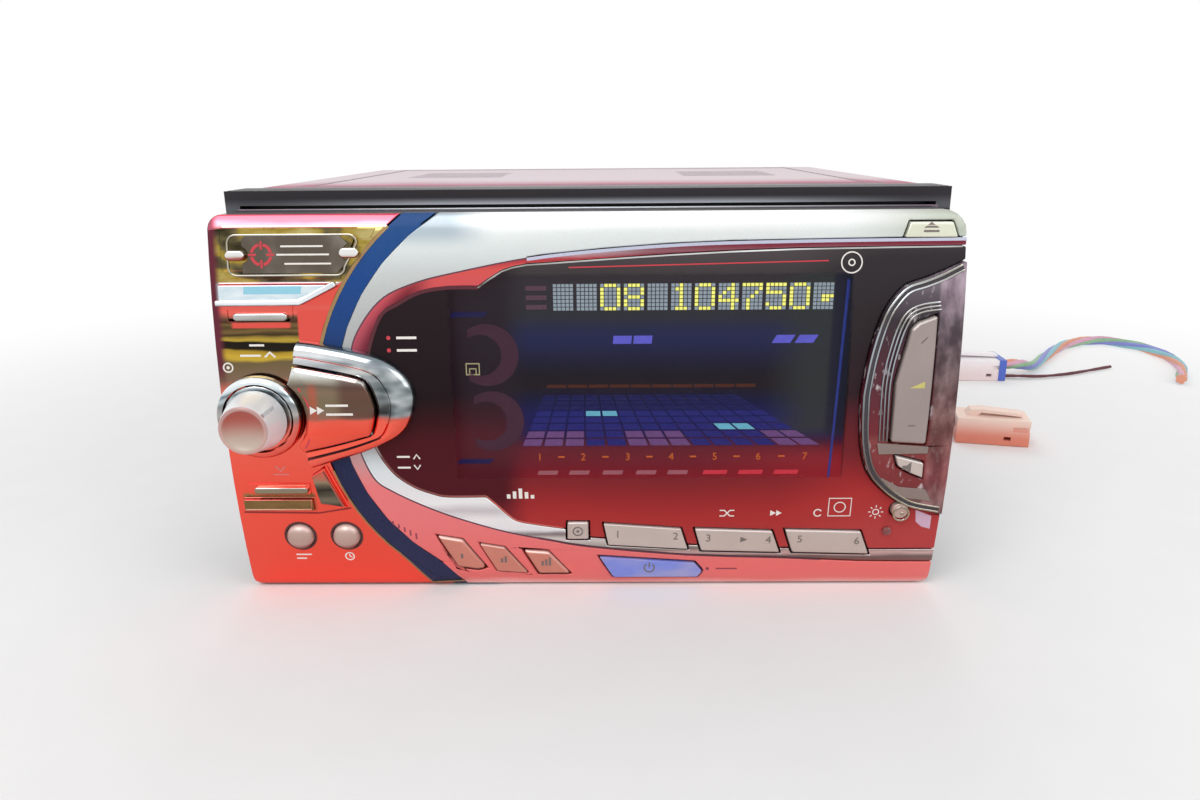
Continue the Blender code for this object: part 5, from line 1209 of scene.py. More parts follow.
pegs = [prism(slot_outline(peg, PEG_HALF_LONG, PEG_HALF_WIDE), 0.1, 1.7, on_face) for peg in PEGS]
settle("plaque_pegs", pegs, peg_plating, edge=0.6, segments=3)
target = [ribbon(arc(TARGET, TARGET_RADIUS, a + 12, a + 78, 8), 0.7, PLATE_PROUD) for a in (0, 90, 180, 270)]
for x, z in ((1, 0), (0, 1), (-1, 0), (0, -1)):
    tick = [(TARGET[0] + reach * x, TARGET[1] + reach * z) for reach in TICK_REACH]
    target.append(ribbon(tick, 0.5, PLATE_PROUD))
settle("plaque_target", target, red_print)
rules = [mark(box_outline((x, z), (x + long, z + RULE_HIGH)), PLATE_PROUD) for x, z, long in RULES]
settle("plaque_rules", rules, white_print)
# The ledge's white and its inset's sky blue are painted reflections.
settle("ledge_lip", ribbon(LIP_LINE, 1.4, 0.9, out=0.75, deep=1.2), ledge_white_reflection, edge=0.4, segments=3)
settle("ledge_sky_reflection", mark(INSET, 1.3), sky)
# A bright line painted as the highlight along the rolled head of the fascia.
settle("head_highlight_line", ribbon(HEAD_HIGHLIGHT_LINE, 0.45, out=0.2, deep=0.3), bright, edge=0.1)
seats = [mark(box_outline(*corners), out=0.3) for corners in BAR_SEATS]
settle("bar_seats", seats, red_reflection_plating, edge=0.1)
for name, (low, high) in (("upper", UPPER_BAR), ("lower", LOWER_BAR)):
    middle, reach = ([(b + sign * a) / 2 for a, b in zip(low, high)] for sign in (1, -1))
    pill = prism(slot_outline(middle, *reach), 0, BAR_OUT, on_face)
    settle(name + "_bar_pill", pill, bright, "front_panel", 0.6, (name + "_light_bar",), segments=3)
settle("lip_rim", ribbon(LIP_RIM, 0.35, 1.1, out=0.35, deep=0.5), chrome, edge=0.1)
settle("wedge_plate", mark([*WEDGE_RIM, WEDGE_HEEL], WEDGE_PROUD, out=0.5), dark_mirror)
settle("wedge_rim", ribbon(WEDGE_RIM, 0.35, WEDGE_PROUD, out=0.6, deep=0.5), chrome, edge=0.1)
# A dark strip painted as the shadow under the crease at the fascia's foot.
settle("foot_crease_shadow", ribbon(CREASE_LINE, 0.45, out=0.05), crease)
hands = [CLOCK_SIGN, (CLOCK_SIGN[0] + 0.6, CLOCK_SIGN[1] - 0.3)]
fascia_marks = [chevron(*UP_SIGN), *(dash(*stroke) for stroke in DASHES)]
for centre in (ROUND_SIGN, CLOCK_SIGN):
    fascia_marks.append(ribbon(circle(centre, SIGN_RADIUS, 20), 0.35, closed=True))
fascia_marks.append(mark(circle(ROUND_SIGN, 0.4, 12)))
fascia_marks.append(ribbon([(CLOCK_SIGN[0], CLOCK_SIGN[1] + 0.7), *hands], 0.3))
settle("fascia_marks", fascia_marks, white_print)
settle("fascia_down_mark", [chevron(*DOWN_SIGN), dash(*DOWN_DASH)], rose_print)


# Stripe
# A navy lacquered slice between the two halves, with a fine gilt line along its left edge and
# across its foot, where it swings out to the left a little.
STRIPE_CENTRE, STRIPE_REACH = (-8.01, 50.81), (57.70, 57.70)
STRIPE_WIDE, GAP = 4.4, 0.3
UPPER_RUN_FOOT, LOWER_RUN_TOP, LOWER_RUN_FOOT, SEAM_FOOT = 62, 38, 11, 7.2
FOOT_GILT = ((-41.6, 0.8), (-33.0, 1.3))
FOOT_ROWS = (
    (0.6, -41.5, -36.0), (1.159, -41.9, -37.0), (2.3, -42.7, -38.9), (3.478, -43.6, -40.6),
    (5.0, -44.8, -42.7), (7.0, -46.4, -45.1), (9.0, -48.1, -47.3), (10.2, -49.1, -48.6),
)
NAVY_BANDS = (
    (0.0, (40, 42, 74)), (0.35, (26, 30, 66)), (0.62, (20, 52, 104)), (0.80, (14, 66, 132)),
    (0.92, (26, 74, 132)),
)


def stripe_edge(inset, steps=28):
    wide, high = (reach - inset for reach in STRIPE_REACH)
    rises = (PANEL_HIGH - STRIPE_CENTRE[1], -STRIPE_CENTRE[1])
    start, end = (math.pi - math.asin(rise / high) for rise in rises)
    angles = [start + (end - start) * i / steps for i in range(steps + 1)]
    return [(STRIPE_CENTRE[0] + wide * math.cos(a), STRIPE_CENTRE[1] + high * math.sin(a)) for a in angles]


def row_mark(rows, out=MARK_OUT):
    """A thin mark that follows the bulge, from rows of height, left end and right end."""
    loops = []
    for z, left, right in rows:
        corners = ((left, out), (right, out), (right, -MARK_IN), (left, -MARK_IN))
        loops.append([on_face(x, height, z) for x, height in corners])
    return lofted(loops)


navy = Finish("navy_lacquer", Coat_Weight=0.06, Coat_Roughness=0.1, Specular_IOR_Level=0.1)
drift = navy.noise(40, (1, 1, 2))
fleck = navy.noise(1800)
shade = navy.bands(navy.place(2) * 10 + (drift - 0.5) * 0.06, NAVY_BANDS)
navy.set(Base_Color=navy.mix(fleck * 0.15, shade, tone(96, 104, 140)), Roughness=fleck * 0.1 + 0.3)
dress("navy_stripe", navy.material, 0.2, clamp=False)
gilt = grained("gilt", (158, 128, 88), 0.24, 0.8, drift=0.25)
edge = [p for p in stripe_edge(-GAP / 2) if 1 < p[1] < PANEL_HIGH - 1]
upper_run = [p for p in edge if p[1] > UPPER_RUN_FOOT]
lower_run = [p for p in edge if LOWER_RUN_FOOT < p[1] < LOWER_RUN_TOP]
lower_run += [(left, z) for z, left, right in FOOT_ROWS[::-1]]
gilt_lines = [
    ribbon(shifted(upper_run, -0.2), 0.8, out=0.1, deep=0.3),
    ribbon(lower_run, 0.45, out=0.1, deep=0.3),
    ribbon(FOOT_GILT, 0.45, 0.2, out=0.15, deep=0.3),
]
settle("stripe_gilt", gilt_lines, gilt)
seam_left = [p for p in edge if LOWER_RUN_TOP <= p[1] <= UPPER_RUN_FOOT]
seam_right = [p for p in stripe_edge(STRIPE_WIDE + GAP / 2) if SEAM_FOOT < p[1] < PANEL_HIGH - 0.8]
seams = [ribbon(seam_left, 0.8), ribbon(seam_right, 0.7, out=0.02), row_mark(FOOT_ROWS)]
settle("stripe_seams", seams, navy.material)


# Right skin
# A silver lacquered shell, shaped like a C that is open to the right, round a dished surround
# with bright plating; fine metal flake lies in the lacquer. The red low on the shell, the tints
# along its head and the bands of the surround are painted reflections of the surroundings, with
# painted highlights along the edges.
SILVER_LINE = smooth(scaled((
    (1.0, 0.934), (0.559, 0.931), (0.224, 0.923), (-0.111, 0.898), (-0.333, 0.862),
    (-0.462, 0.833), (-0.552, 0.791), (-0.622, 0.703), (-0.640, 0.620), (-0.645, 0.535),
    (-0.640, 0.440), (-0.604, 0.336), (-0.550, 0.292), (-0.441, 0.239), (-0.331, 0.199),
    (-0.221, 0.167), (-0.110, 0.145), (0.001, 0.125), (0.279, 0.098), (0.558, 0.088),
    (0.782, 0.077), (1.0, 0.075),
)), 6)
SILVER_FOOT_ROWS = (
    (0.2, -32.3, -22.0), (1.159, -33.0, -25.0), (2.3, -33.9, -27.9), (3.478, -34.9, -30.5),
    (4.4, -35.7, -32.3), (5.2, -36.4, -34.8), (6.4, -37.4, -35.3), (7.4, -38.3, -35.8),
)
SILVER_FOOT_OUT = 0.08
SURROUND_HUB = (-0.0210, 0.0503)
LIP_WIDE, LIP_OUT, LIP_DEEP, LIP_AWAY, LIP_RIGHT = 0.75, 0.05, 0.25, 0.4, -12
# The silver by height: a painted highlight at the foot, a painted red reflection low down, grey in the
# middle and a painted highlight along the head.
SILVER_BANDS = (
    (0.00, (250, 196, 192)), (0.022, (236, 112, 108)), (0.06, (244, 108, 104)), (0.20, (244, 118, 120)),
    (0.30, (242, 118, 120)), (0.37, (206, 150, 150)), (0.44, (188, 182, 180)), (0.62, (172, 172, 172)),
    (0.70, (176, 178, 178)), (0.80, (190, 194, 192)), (0.86, (206, 212, 212)), (0.92, (224, 230, 228)),
    (0.942, (248, 250, 250)), (1.0, (252, 253, 253)),
)
# The surround by height, all painted reflections: light and dark bands low down, white as highlights,
# crimson and maroon toward the head.
SURROUND_BANDS = (
    (0.06, (150, 96, 90)), (0.085, (120, 104, 102)), (0.098, (214, 180, 176)), (0.112, (130, 118, 112)),
    (0.14, (224, 220, 214)), (0.154, (130, 118, 120)), (0.166, (246, 249, 252)), (0.20, (253, 254, 255)),
    (0.225, (214, 210, 214)), (0.25, (253, 254, 255)), (0.285, (244, 246, 248)), (0.34, (230, 236, 238)),
    (0.375, (200, 206, 208)), (0.42, (130, 112, 120)), (0.56, (150, 100, 116)), (0.66, (180, 84, 100)),
    (0.77, (206, 88, 98)), (0.845, (216, 90, 86)), (0.87, (176, 60, 70)), (0.885, (224, 208, 214)),
    (0.90, (150, 52, 60)),
)


def surround_patch(finish, shade):
    """The painted crimson reflection darkens toward the lens as painted shade, and along the
    head, right of the middle, turns to a painted maroon reflection.
    """
    across, height = finish.place(0) - SURROUND_HUB[0], finish.place(2) - SURROUND_HUB[1]
    inner = finish.rise(across * across + height * height, 0.00150, 0.00122)
    inner = inner * finish.rise(height, 0.004, 0.014) * finish.rise(across, -0.014, -0.022)
    shade = finish.mix(inner * 0.8, shade, tone(84, 26, 40))
    right = finish.past(0, -0.0140, 0.0200) * finish.past(2, 0.0862, 0.0872)
    return finish.mix(right * 0.85, shade, tone(122, 48, 64))


silver = Finish("silver_lacquer", Metallic=0.35, Coat_Weight=0.2, Coat_Roughness=0.15)
flake = silver.noise(2600, detail=1.0)
drift = silver.noise(26, (1, 1, 2))
shade = silver.bands(silver.place(2) * 10 + (drift - 0.5) * 0.03, SILVER_BANDS)
# Painted reflections along the head tint the silver blue-grey at the left and olive at the right.
head = silver.past(2, 0.0880, 0.0930)
shade = silver.mix(silver.past(0, -0.0200, -0.0330) * head * 0.8, shade, tone(140, 160, 174))
shade = silver.mix(silver.past(0, 0.0560, 0.0880) * head * 0.8, shade, tone(160, 168, 146))
silver.set(Base_Color=silver.mix(flake * 0.2, shade, (0.3, 0.3, 0.3)), Roughness=flake * 0.18 + 0.24)
bright_surround = plated(
    "bright_surround", SURROUND_BANDS, (236, 226, 232), (120, 60, 66), 0.015, 0.16, surround_patch
)
dark_line = grained("dark_line", (92, 54, 70), 0.3, 0.3)
painted_lilac_glint = grained("painted_lilac_glint", (190, 192, 212), 0.3, 0.3)
dress("silver_face", silver.material, 0.4, clamp=False)
settle("silver_foot", row_mark(SILVER_FOOT_ROWS, SILVER_FOOT_OUT), silver.material)
dress("window_surround", bright_surround, 0.3, clamp=False)
run = [p for p in SILVER_LINE if p[0] < LIP_RIGHT]
for name, away, finish in (
    ("silver_lip", LIP_AWAY, silver.material), ("surround_lip", -LIP_AWAY, bright_surround),
):
    settle(name, ribbon(shifted(run, away), LIP_WIDE, out=LIP_OUT, deep=LIP_DEEP), finish)
run = [p for p in SILVER_LINE[9:-9] if p[0] < -8 or p[1] < 50]
settle("surround_line", ribbon(run, 0.35, out=0.09, deep=LIP_DEEP), dark_line)
# A lilac glint painted as the highlight along the head of the surround.
run = [p for p in SILVER_LINE if p[0] > -16 and p[1] > 50]
head_glint = ribbon(shifted(run, -0.25), LIP_WIDE, out=0.12, deep=LIP_DEEP)
settle("head_glint", head_glint, painted_lilac_glint, edge=0.05)


# Lens
# Smoked clear acrylic over the display, polished, with a bright rim; its lower third is painted
# red as a reflection of the surroundings, and small signs are printed on it.
LENS_RIM = smooth(scaled((
    (-0.287, 0.823), (-0.365, 0.823), (-0.442, 0.812), (-0.505, 0.783), (-0.551, 0.753),
    (-0.590, 0.655), (-0.600, 0.535), (-0.590, 0.430), (-0.548, 0.353), (-0.494, 0.310),
    (-0.440, 0.288), (-0.396, 0.279), (-0.289, 0.279),
)), 6)
UPPER_RIM = smooth(scaled((
    (0.99, 0.914), (0.558, 0.910), (0.223, 0.898), (-0.111, 0.879), (-0.166, 0.875),
    (-0.222, 0.862), (-0.287, 0.823),
)), 2)
LOWER_RIM = smooth(scaled((
    (-0.289, 0.279), (-0.264, 0.257), (-0.220, 0.216), (-0.187, 0.201), (-0.073, 0.183),
)), 2)
# The lens by height: a painted red reflection of the surroundings low down, fading into the dark smoke
# above.
LENS_BANDS = (
    (0.10, (178, 66, 66)), (0.16, (172, 56, 56)), (0.21, (170, 50, 50)), (0.25, (156, 44, 46)),
    (0.29, (138, 40, 44)), (0.34, (112, 36, 42)), (0.39, (100, 34, 40)), (0.44, (80, 32, 40)),
    (0.48, (48, 30, 36)), (0.60, (44, 36, 40)), (0.80, (52, 47, 50)), (0.92, (88, 80, 82)),
)
LENS_TICKS = (
    (-45.4, 67.8, 4.8, 0.6), (-45.4, 64.8, 4.8, 0.6), (-47.3, 37.8, 3.2, 0.5), (-47.3, 34.9, 3.2, 0.5),
)
LENS_CHEVRONS = ((-42.4, 37.2, 1.6, 1.2, 0.35), (-42.4, 35.6, 1.6, -1.2, 0.35))
BAR_SIGN, BAR_SIGN_HIGHS = (-20.5, 26.2), (1.2, 2.0, 2.8, 1.8, 1.0)
BAR_SIGN_PITCH, BAR_SIGN_WIDE, ARROW_XS_ON_LENS = 1.5, 0.9, (46.0, 47.5)
DISC_SIGN, BOX_SIGN, BOX_SIGN_HUB = (62.4, 84.8), ((60.6, 20.9), (66.2, 25.9)), (63.4, 23.4)
SWING_LINE, SIGN_ROW, TURN_SIGN = ((33.2, 0.8), (34.4, 0.8), (35.8, -0.8), (36.9, -0.8)), 21.8, (58, 21.8)
RED_DOTS, RED_RULE = ((-47.3, 67.8), (-47.3, 64.8)), ((-4, 83.9), (57, 85.1), (57, 85.4), (-4, 84.2))

lens = Finish("smoked_lens", Specular_IOR_Level=0.08, Coat_Weight=0.0)
height = lens.place(2) * 10
clouds = lens.noise(30, detail=3.0)
ends = lens.past(0, 0.0440, 0.0740) * 0.07
shade = lens.bands(height - ends + (clouds - 0.5) * 0.05, LENS_BANDS)
left_shade = lens.bands(height + (clouds - 0.5) * 0.03, LEFT_SMOKE_AND_RED_REFLECTION)
shade = lens.mix(lens.past(0, -0.0140, -0.0220), shade, left_shade)
window = lens.within(0, -0.0326, 0.0628) * lens.within(2, 0.0322, 0.0826)
from_middle = lens.place(2) * (2 / (PANEL_HIGH * MM)) - 1
front = (1 - from_middle * from_middle) * (BULGE * -MM) + FACE_Y * MM
behind = lens.rise(lens.place(1) - front, 0.0008, 0.0012)
inner = lens.within(0, -0.0400, 0.0670) * lens.within(2, 0.0300, 0.0850)
smoke = (1 - window * 0.95) * (1 - behind * inner)
lens.set(Base_Color=shade, Roughness=clouds * 0.04 + 0.03, Alpha=smoke)
dress("window_lens", lens.material, 0.35, clamp=False)
# A maroon strip painted along the lens's seat as the shade at its edge.
seat_shade = grained("lens_seat_shade", (84, 28, 40), 0.2, 0.3)
settle("lens_seat_shade", ribbon(LENS_RIM, 0.8, out=0.05, deep=0.25), seat_shade)
left_rim = [p for p in LENS_RIM if p[1] < 46]
rims = [ribbon(run, 0.35, out=0.08, deep=0.25) for run in (left_rim, UPPER_RIM, LOWER_RIM)]
settle("lens_rim", rims, chrome)
lens_marks = [dash(*tick) for tick in LENS_TICKS]
lens_marks += [chevron(*sign) for sign in LENS_CHEVRONS]
for k, high in enumerate(BAR_SIGN_HIGHS):
    left, foot = BAR_SIGN[0] + BAR_SIGN_PITCH * k, BAR_SIGN[1]
    lens_marks.append(mark(box_outline((left, foot), (left + BAR_SIGN_WIDE, foot + high))))
lens_marks += [ribbon(circle(DISC_SIGN, radius), 0.3, closed=True) for radius in (2.4, 0.7)]
lens_marks.append(ribbon(box_outline(*BOX_SIGN), 0.3, closed=True))
lens_marks.append(ribbon(circle(BOX_SIGN_HUB, 1.4, 18), 0.25, closed=True))
lens_marks += [ribbon([(x, SIGN_ROW + sign * z) for x, z in SWING_LINE], 0.3) for sign in (1, -1)]
for x in ARROW_XS_ON_LENS:
    lens_marks.append(mark([(x, SIGN_ROW - 0.8), (x + 1.4, SIGN_ROW), (x, SIGN_ROW + 0.8)]))
lens_marks.append(ribbon(arc(TURN_SIGN, 0.95, 30, 330, 16), 0.3))
settle("lens_marks", lens_marks, white_print)
settle("lens_red_marks", [*(mark(circle(dot, 0.5, 12)) for dot in RED_DOTS), mark(RED_RULE)], red_print)


# Volume pod
# A clear crystal moulding let into the right end of the lens, with a double bright rim, steps
# round the long volume rocker, a bright web between rocker and mute key, and a small eye. Painted
# into it are a red reflection low down, streaks of reflection, white sparkles as highlights, shade
# in the groove inside the rim and a lilac glint at the lower corner.
POD_LINE = smooth(scaled((
    (0.985, 0.876), (0.936, 0.853), (0.888, 0.836), (0.851, 0.825), (0.822, 0.802),
    (0.788, 0.753), (0.761, 0.667), (0.747, 0.583), (0.744, 0.533), (0.751, 0.430),
    (0.775, 0.350), (0.818, 0.300), (0.864, 0.266), (0.911, 0.244), (0.985, 0.230),
)), 3)
ROCKER_LINE = smooth((
    (73.3, 41.9), (73.0, 50), (73.0, 56.8), (74.0, 63.4), (76.0, 70.2), (78.6, 72.8), (83.4, 73.6),
), 4)
POD_PROUD = 1.2
POD_RIMS = ((-0.35, 0.5, 0.35), (-1.6, 0.42, 0.3))
WEB = ((70.6, 41.4), (83.2, 40.4), (83.2, 38.6), (71.2, 38.4))
WEB_FOOT = ((72.4, 32.2), (77.0, 29.6), (83.8, 28.9), (85.6, 25.6), (78.2, 26.6), (73.4, 30.2))
SENSOR_PLACE, SENSOR_PROFILE = (75.9, 16.6), ((1.1, 0), (1.1, -0.6), (0.7, -0.9), (0, -1.0))
CORNER_GLINT = ((82.6, 22.6), (86.8, 20.8), (86.9, 17.0), (84.6, 17.7), (83.0, 19.2))
SUN, SUN_RADIUS, RAY_REACH = (72.6, 22.0), 0.75, (1.3, 1.9)
CRYSTAL_BANDS = (
    (0.22, (120, 92, 80)), (0.27, (104, 72, 64)), (0.30, (120, 44, 46)), (0.36, (128, 46, 48)),
    (0.42, (130, 62, 60)), (0.44, (112, 34, 42)), (0.56, (84, 34, 46)), (0.66, (66, 36, 46)),
    (0.72, (50, 42, 48)), (0.78, (92, 82, 90)), (0.84, (150, 138, 150)),
)
DEEP_BANDS = (
    (0.22, (100, 66, 66)), (0.32, (104, 44, 50)), (0.46, (92, 58, 56)), (0.60, (66, 50, 54)),
    (0.72, (74, 62, 70)), (0.82, (116, 98, 112)),
)
PALE_BANDS = (
    (0.22, (160, 130, 130)), (0.32, (156, 92, 94)), (0.46, (152, 114, 108)), (0.60, (122, 102, 104)),
    (0.72, (152, 132, 142)), (0.82, (188, 168, 182)),
)

# The crystal's colours are painted: a red reflection low down, streaks of darker and paler reflection, and
# white sparkles as highlights.
crystal = Finish("crystal", Specular_IOR_Level=0.25)
streak = crystal.noise(210, (1.2, 1, 0.6), 4.0)
painted_sparkle = crystal.rise(crystal.noise(420, (1.4, 1, 0.7), 3.0), 0.56, 0.70)
height = crystal.place(2) * 10
base, deep, pale = (crystal.bands(height, bands) for bands in (CRYSTAL_BANDS, DEEP_BANDS, PALE_BANDS))
base = crystal.mix(painted_sparkle * 0.7, base, tone(206, 196, 200))
smoke = crystal.mix(crystal.rise(streak, 0.36, 0.7), deep, pale)
crystal.set(
    Base_Color=crystal.mix(crystal.past(0, 0.0826, 0.0836) * 0.9, base, smoke),
    Roughness=streak * 0.16 + 0.06,
    Normal=crystal.bump(streak, 0.0002),
)
rim_groove_shade = grained("rim_groove_shade", (52, 46, 52), 0.25)
web_grey = grained("web_grey", (142, 124, 118), 0.2, 0.5, drift=0.3)
sensor_red = grained("sensor_red", (120, 50, 50), 0.15, Coat_Weight=0.5)
lilac_glint = grained("lilac_glint", (206, 168, 190), 0.2)
dress("volume_pod", crystal.material, 0.4, clamp=False)
rims = [
    ribbon(shifted(POD_LINE, away), wide, POD_PROUD, out=out, deep=0.6) for away, wide, out in POD_RIMS
]
settle("volume_pod_rims", rims, bright, edge=0.14)
# A dark line painted as the shade in the groove inside the rims.
groove = ribbon(shifted(POD_LINE, -1.0), 0.8, POD_PROUD, out=0.08, deep=0.4)
settle("volume_pod_groove_shade", groove, rim_groove_shade)
steps = [
    ribbon(shifted(ROCKER_LINE, -0.5 - 0.85 * k), 0.4, POD_PROUD, out=0.6 - 0.15 * k, deep=0.4)
    for k in range(3)
]
settle("rocker_steps", steps, bright, edge=0.12)
web = [mark(outline, POD_PROUD, out=out) for outline, out in ((WEB, 0.3), (WEB_FOOT, 0.2))]
settle("rocker_web", web, web_grey, edge=0.1)
eye = turned(SENSOR_PROFILE, on_face(SENSOR_PLACE[0], 0, SENSOR_PLACE[1]), "Y", 20)
settle("sensor_eye", eye, sensor_red)
# A lilac glint painted at the lower corner as a highlight.
settle("corner_glint", mark(CORNER_GLINT, out=0.1), lilac_glint, edge=0.05)
sun = []
for angle in (math.pi * k / 4 for k in range(8)):
    ray = [(SUN[0] + reach * math.cos(angle), SUN[1] + reach * math.sin(angle)) for reach in RAY_REACH]
    sun.append(ribbon(ray, 0.25))
sun.append(ribbon(circle(SUN, SUN_RADIUS, 16), 0.25, closed=True))
settle("dimmer_sun", sun, white_print)


# Knob group
# A chromed pod, domed round a sprung paddle; a ring that tilts four ways round a push shaft;
# and a turned satin aluminium knob with a dished end and three fine finger grooves. The red, black
# and white bands on the pod, paddle and ring and the colours of the knob are painted reflections
# of the surroundings, with painted highlights on faces that look up.
KNOB, RING_RADIUS = (-79.3, 48.88), 10.4
POD_OUTER = scaled((
    (-0.772, 0.698), (-0.735, 0.694), (-0.690, 0.686), (-0.646, 0.678), (-0.600, 0.668),
    (-0.550, 0.653), (-0.508, 0.627), (-0.478, 0.593), (-0.467, 0.556), (-0.476, 0.509),
    (-0.498, 0.469), (-0.542, 0.439), (-0.618, 0.409), (-0.672, 0.393), (-0.760, 0.367),
))
PADDLE = smooth(scaled((
    (-0.788, 0.636), (-0.752, 0.631), (-0.617, 0.605), (-0.590, 0.583), (-0.576, 0.546),
    (-0.573, 0.519), (-0.589, 0.465), (-0.616, 0.453), (-0.706, 0.431), (-0.778, 0.417),
)), 3)
POD_POINTS, PADDLE_SHIFT, PADDLE_GAP, PADDLE_TOP = 46, -0.45, 1.2, 4.0
POD_PROFILE = (
    (0, -0.4), (0, 0.9), (0.04, 1.7), (0.13, 2.4), (0.28, 2.85), (0.42, 3.0), (0.55, 2.95),
    (0.62, 2.6), (0.68, 2.15), (0.84, 2.05), (0.96, 1.95), (1, 1.7), (1, -0.4),
)
PADDLE_PROFILE = (
    (1, 1.5), (1, 2.7), (0.985, 3.15), (0.95, 3.45), (0.88, 3.65), (0.7, 3.82), (0.4, 3.95), (0.02, 4.0),
)
RING_PROFILE = ((8.6, 6.1), (10.4, 6.1), (10.4, 6.7), (10.2, 7.4), (9.7, 8.0), (9.1, 8.28), (8.6, 8.3))
KNOB_PROFILE = (
    (3.1, 6.9), (3.1, 8.9), (7.1, 8.9), (7.4, 9.2), (7.38, 10.0), (6.9, 12.4), (6.35, 14.8),
    (5.98, 16.6), (5.82, 17.1), (5.5, 17.4), (5.1, 17.5), (4.75, 17.42), (4.35, 17.15),
    (3.4, 16.8), (1.8, 16.6), (0.05, 16.55),
)
KNOB_LONG, DISH_LOW, DISH_HIGH = 17.5, 4, 3.4
GROOVE_TURNS, GROOVE_REACH = (36, 156, 276), (-17.0, -11.2)
GROOVE_LOW, GROOVE_HIGH = (5.5, -0.45), (9, 0.45)
ARROW_XS, PADDLE_DASHES = (-66.2, -64.5), ((-62.4, 52.4, 5.4), (-62.4, 50.2, 6.4))
RED_ARC_RADIUS, RED_ARCS = 13.2, ((12, 36), (-34, -16))
POD_BANDS = (
    (0.36, (250, 112, 94)), (0.42, (246, 96, 76)), (0.480, (240, 100, 82)), (0.492, (150, 96, 84)),
    (0.50, (60, 52, 46)), (0.53, (172, 168, 160)), (0.55, (96, 90, 70)), (0.575, (50, 46, 40)),
    (0.60, (196, 196, 190)), (0.62, (120, 128, 136)), (0.64, (226, 232, 236)), (0.68, (190, 186, 184)),
)
STREAK_BANDS = (
    (0.37, (44, 50, 52)), (0.46, (104, 116, 122)), (0.54, (180, 188, 192)), (0.63, (244, 246, 248)),
)
PADDLE_BANDS = (
    (0.40, (246, 98, 80)), (0.455, (244, 90, 70)), (0.484, (236, 96, 78)), (0.491, (150, 104, 88)),
    (0.51, (128, 112, 92)), (0.535, (122, 108, 84)), (0.56, (132, 112, 92)), (0.575, (112, 98, 84)),
    (0.59, (170, 164, 152)), (0.61, (226, 228, 224)),
)
RING_BANDS = (
    (0.38, (240, 96, 80)), (0.44, (234, 110, 96)), (0.470, (220, 116, 104)), (0.485, (150, 130, 124)),
    (0.50, (176, 172, 168)), (0.53, (132, 136, 138)), (0.545, (190, 200, 204)), (0.56, (96, 110, 120)),
    (0.572, (214, 226, 230)), (0.60, (240, 248, 250)),
)


def pod_patch(finish, shade):
    """Dark and bright patches of painted reflection in the plating, above the sharp edge of the
    painted red reflection.
    """
    patches = finish.bands(finish.noise(100, (0.8, 1, 1.7), 2.0), STREAK_BANDS)
    where = finish.past(0, -0.0560, -0.0480) * 0.4 + 0.4
    return finish.mix(where * finish.past(2, 0.0486, 0.0500), shade, patches)


def paddle_patch(finish, shade):
    """Above the painted red reflection the plating is painted darker at the right, and red
    reflection is painted in a narrow band at the left.
    """
    above = finish.past(2, 0.0486, 0.0500)
    dark = finish.past(0, -0.0610, -0.0575) * above
    red = finish.within(0, -0.0662, -0.0646, 0.0012) * above * finish.past(2, 0.0590, 0.0560)
    shade = finish.mix(dark * 0.65, shade, tone(84, 48, 48))
    return finish.mix(red * 0.6, shade, tone(204, 78, 58))


def on_paddle(x, out, z):
    return on_face(x, PADDLE_TOP + out, z)


def turn_loop(radius, reach, sides=56):
    return [Vector((x, FACE_Y - reach, PANEL_LIFT + z)) for x, z in circle(KNOB, radius, sides)]


def between(a, b, share):
    return [p + (q - p) * share for p, q in zip(a, b)]


# The pod, paddle and ring are painted with reflections: red low down, bands of black, white and blue above,
# and paler colours on faces that look up as highlights.
pod_plating = plated("pod_plating", POD_BANDS, (128, 140, 148), (206, 76, 64), 0.03, patch=pod_patch)
paddle_plating = plated(
    "paddle_plating", PADDLE_BANDS, (236, 240, 238), (200, 70, 58), 0.02, patch=paddle_patch
)
ring_plating = plated("ring_plating", RING_BANDS, (244, 250, 252), (196, 76, 66), 0.03)
outer = spread(smooth(POD_OUTER, 4), POD_POINTS)
inner = spread(shifted(PADDLE, PADDLE_SHIFT), POD_POINTS)
loops = []
for pair in zip(outer, inner):
    spots = [(between(*pair, share), out) for share, out in POD_PROFILE]
    loops.append([on_face(x, out, z) for (x, z), out in spots])
settle("pod_dome", lofted(loops), pod_plating, stands_for=("pod_bezel",), sharp=40)
paddle_line = [*PADDLE, *arc(KNOB, RING_RADIUS + PADDLE_GAP, -38, 48, 8)]
middle = [sum(c) / len(paddle_line) for c in zip(*paddle_line)]
loops = []
for share, out in PADDLE_PROFILE:
    loops.append([on_face(x, out, z) for x, z in (between(middle, p, share) for p in paddle_line)])
settle("paddle_dome", lofted(loops), paddle_plating, "paddle", 0, ("tune_paddle",), 50)
paddle_marks = [mark([(x, 50.2), (x + 1.7, 51.2), (x, 52.2)], place=on_paddle) for x in ARROW_XS]
for x, z, long in PADDLE_DASHES:
    paddle_marks.append(ribbon([(x, z), (x + long, z)], 0.55, place=on_paddle))
settle("paddle_marks", paddle_marks, white_print, "paddle")
paddle_red = [ribbon(arc(KNOB, RED_ARC_RADIUS, a, b, 8), 0.5, -0.25, on_paddle) for a, b in RED_ARCS]
settle("paddle_red_marks", paddle_red, red_print, "paddle")
ring = lofted([turn_loop(radius, reach) for radius, reach in RING_PROFILE], True)
settle("tilt_ring", ring, ring_plating, "ring", 0, ("joystick_ring",), 40)
dress("encoder_plunger", ring_plating, 0.2, 40)
knob = lofted([turn_loop(radius, reach) for radius, reach in KNOB_PROFILE])
grooves = []
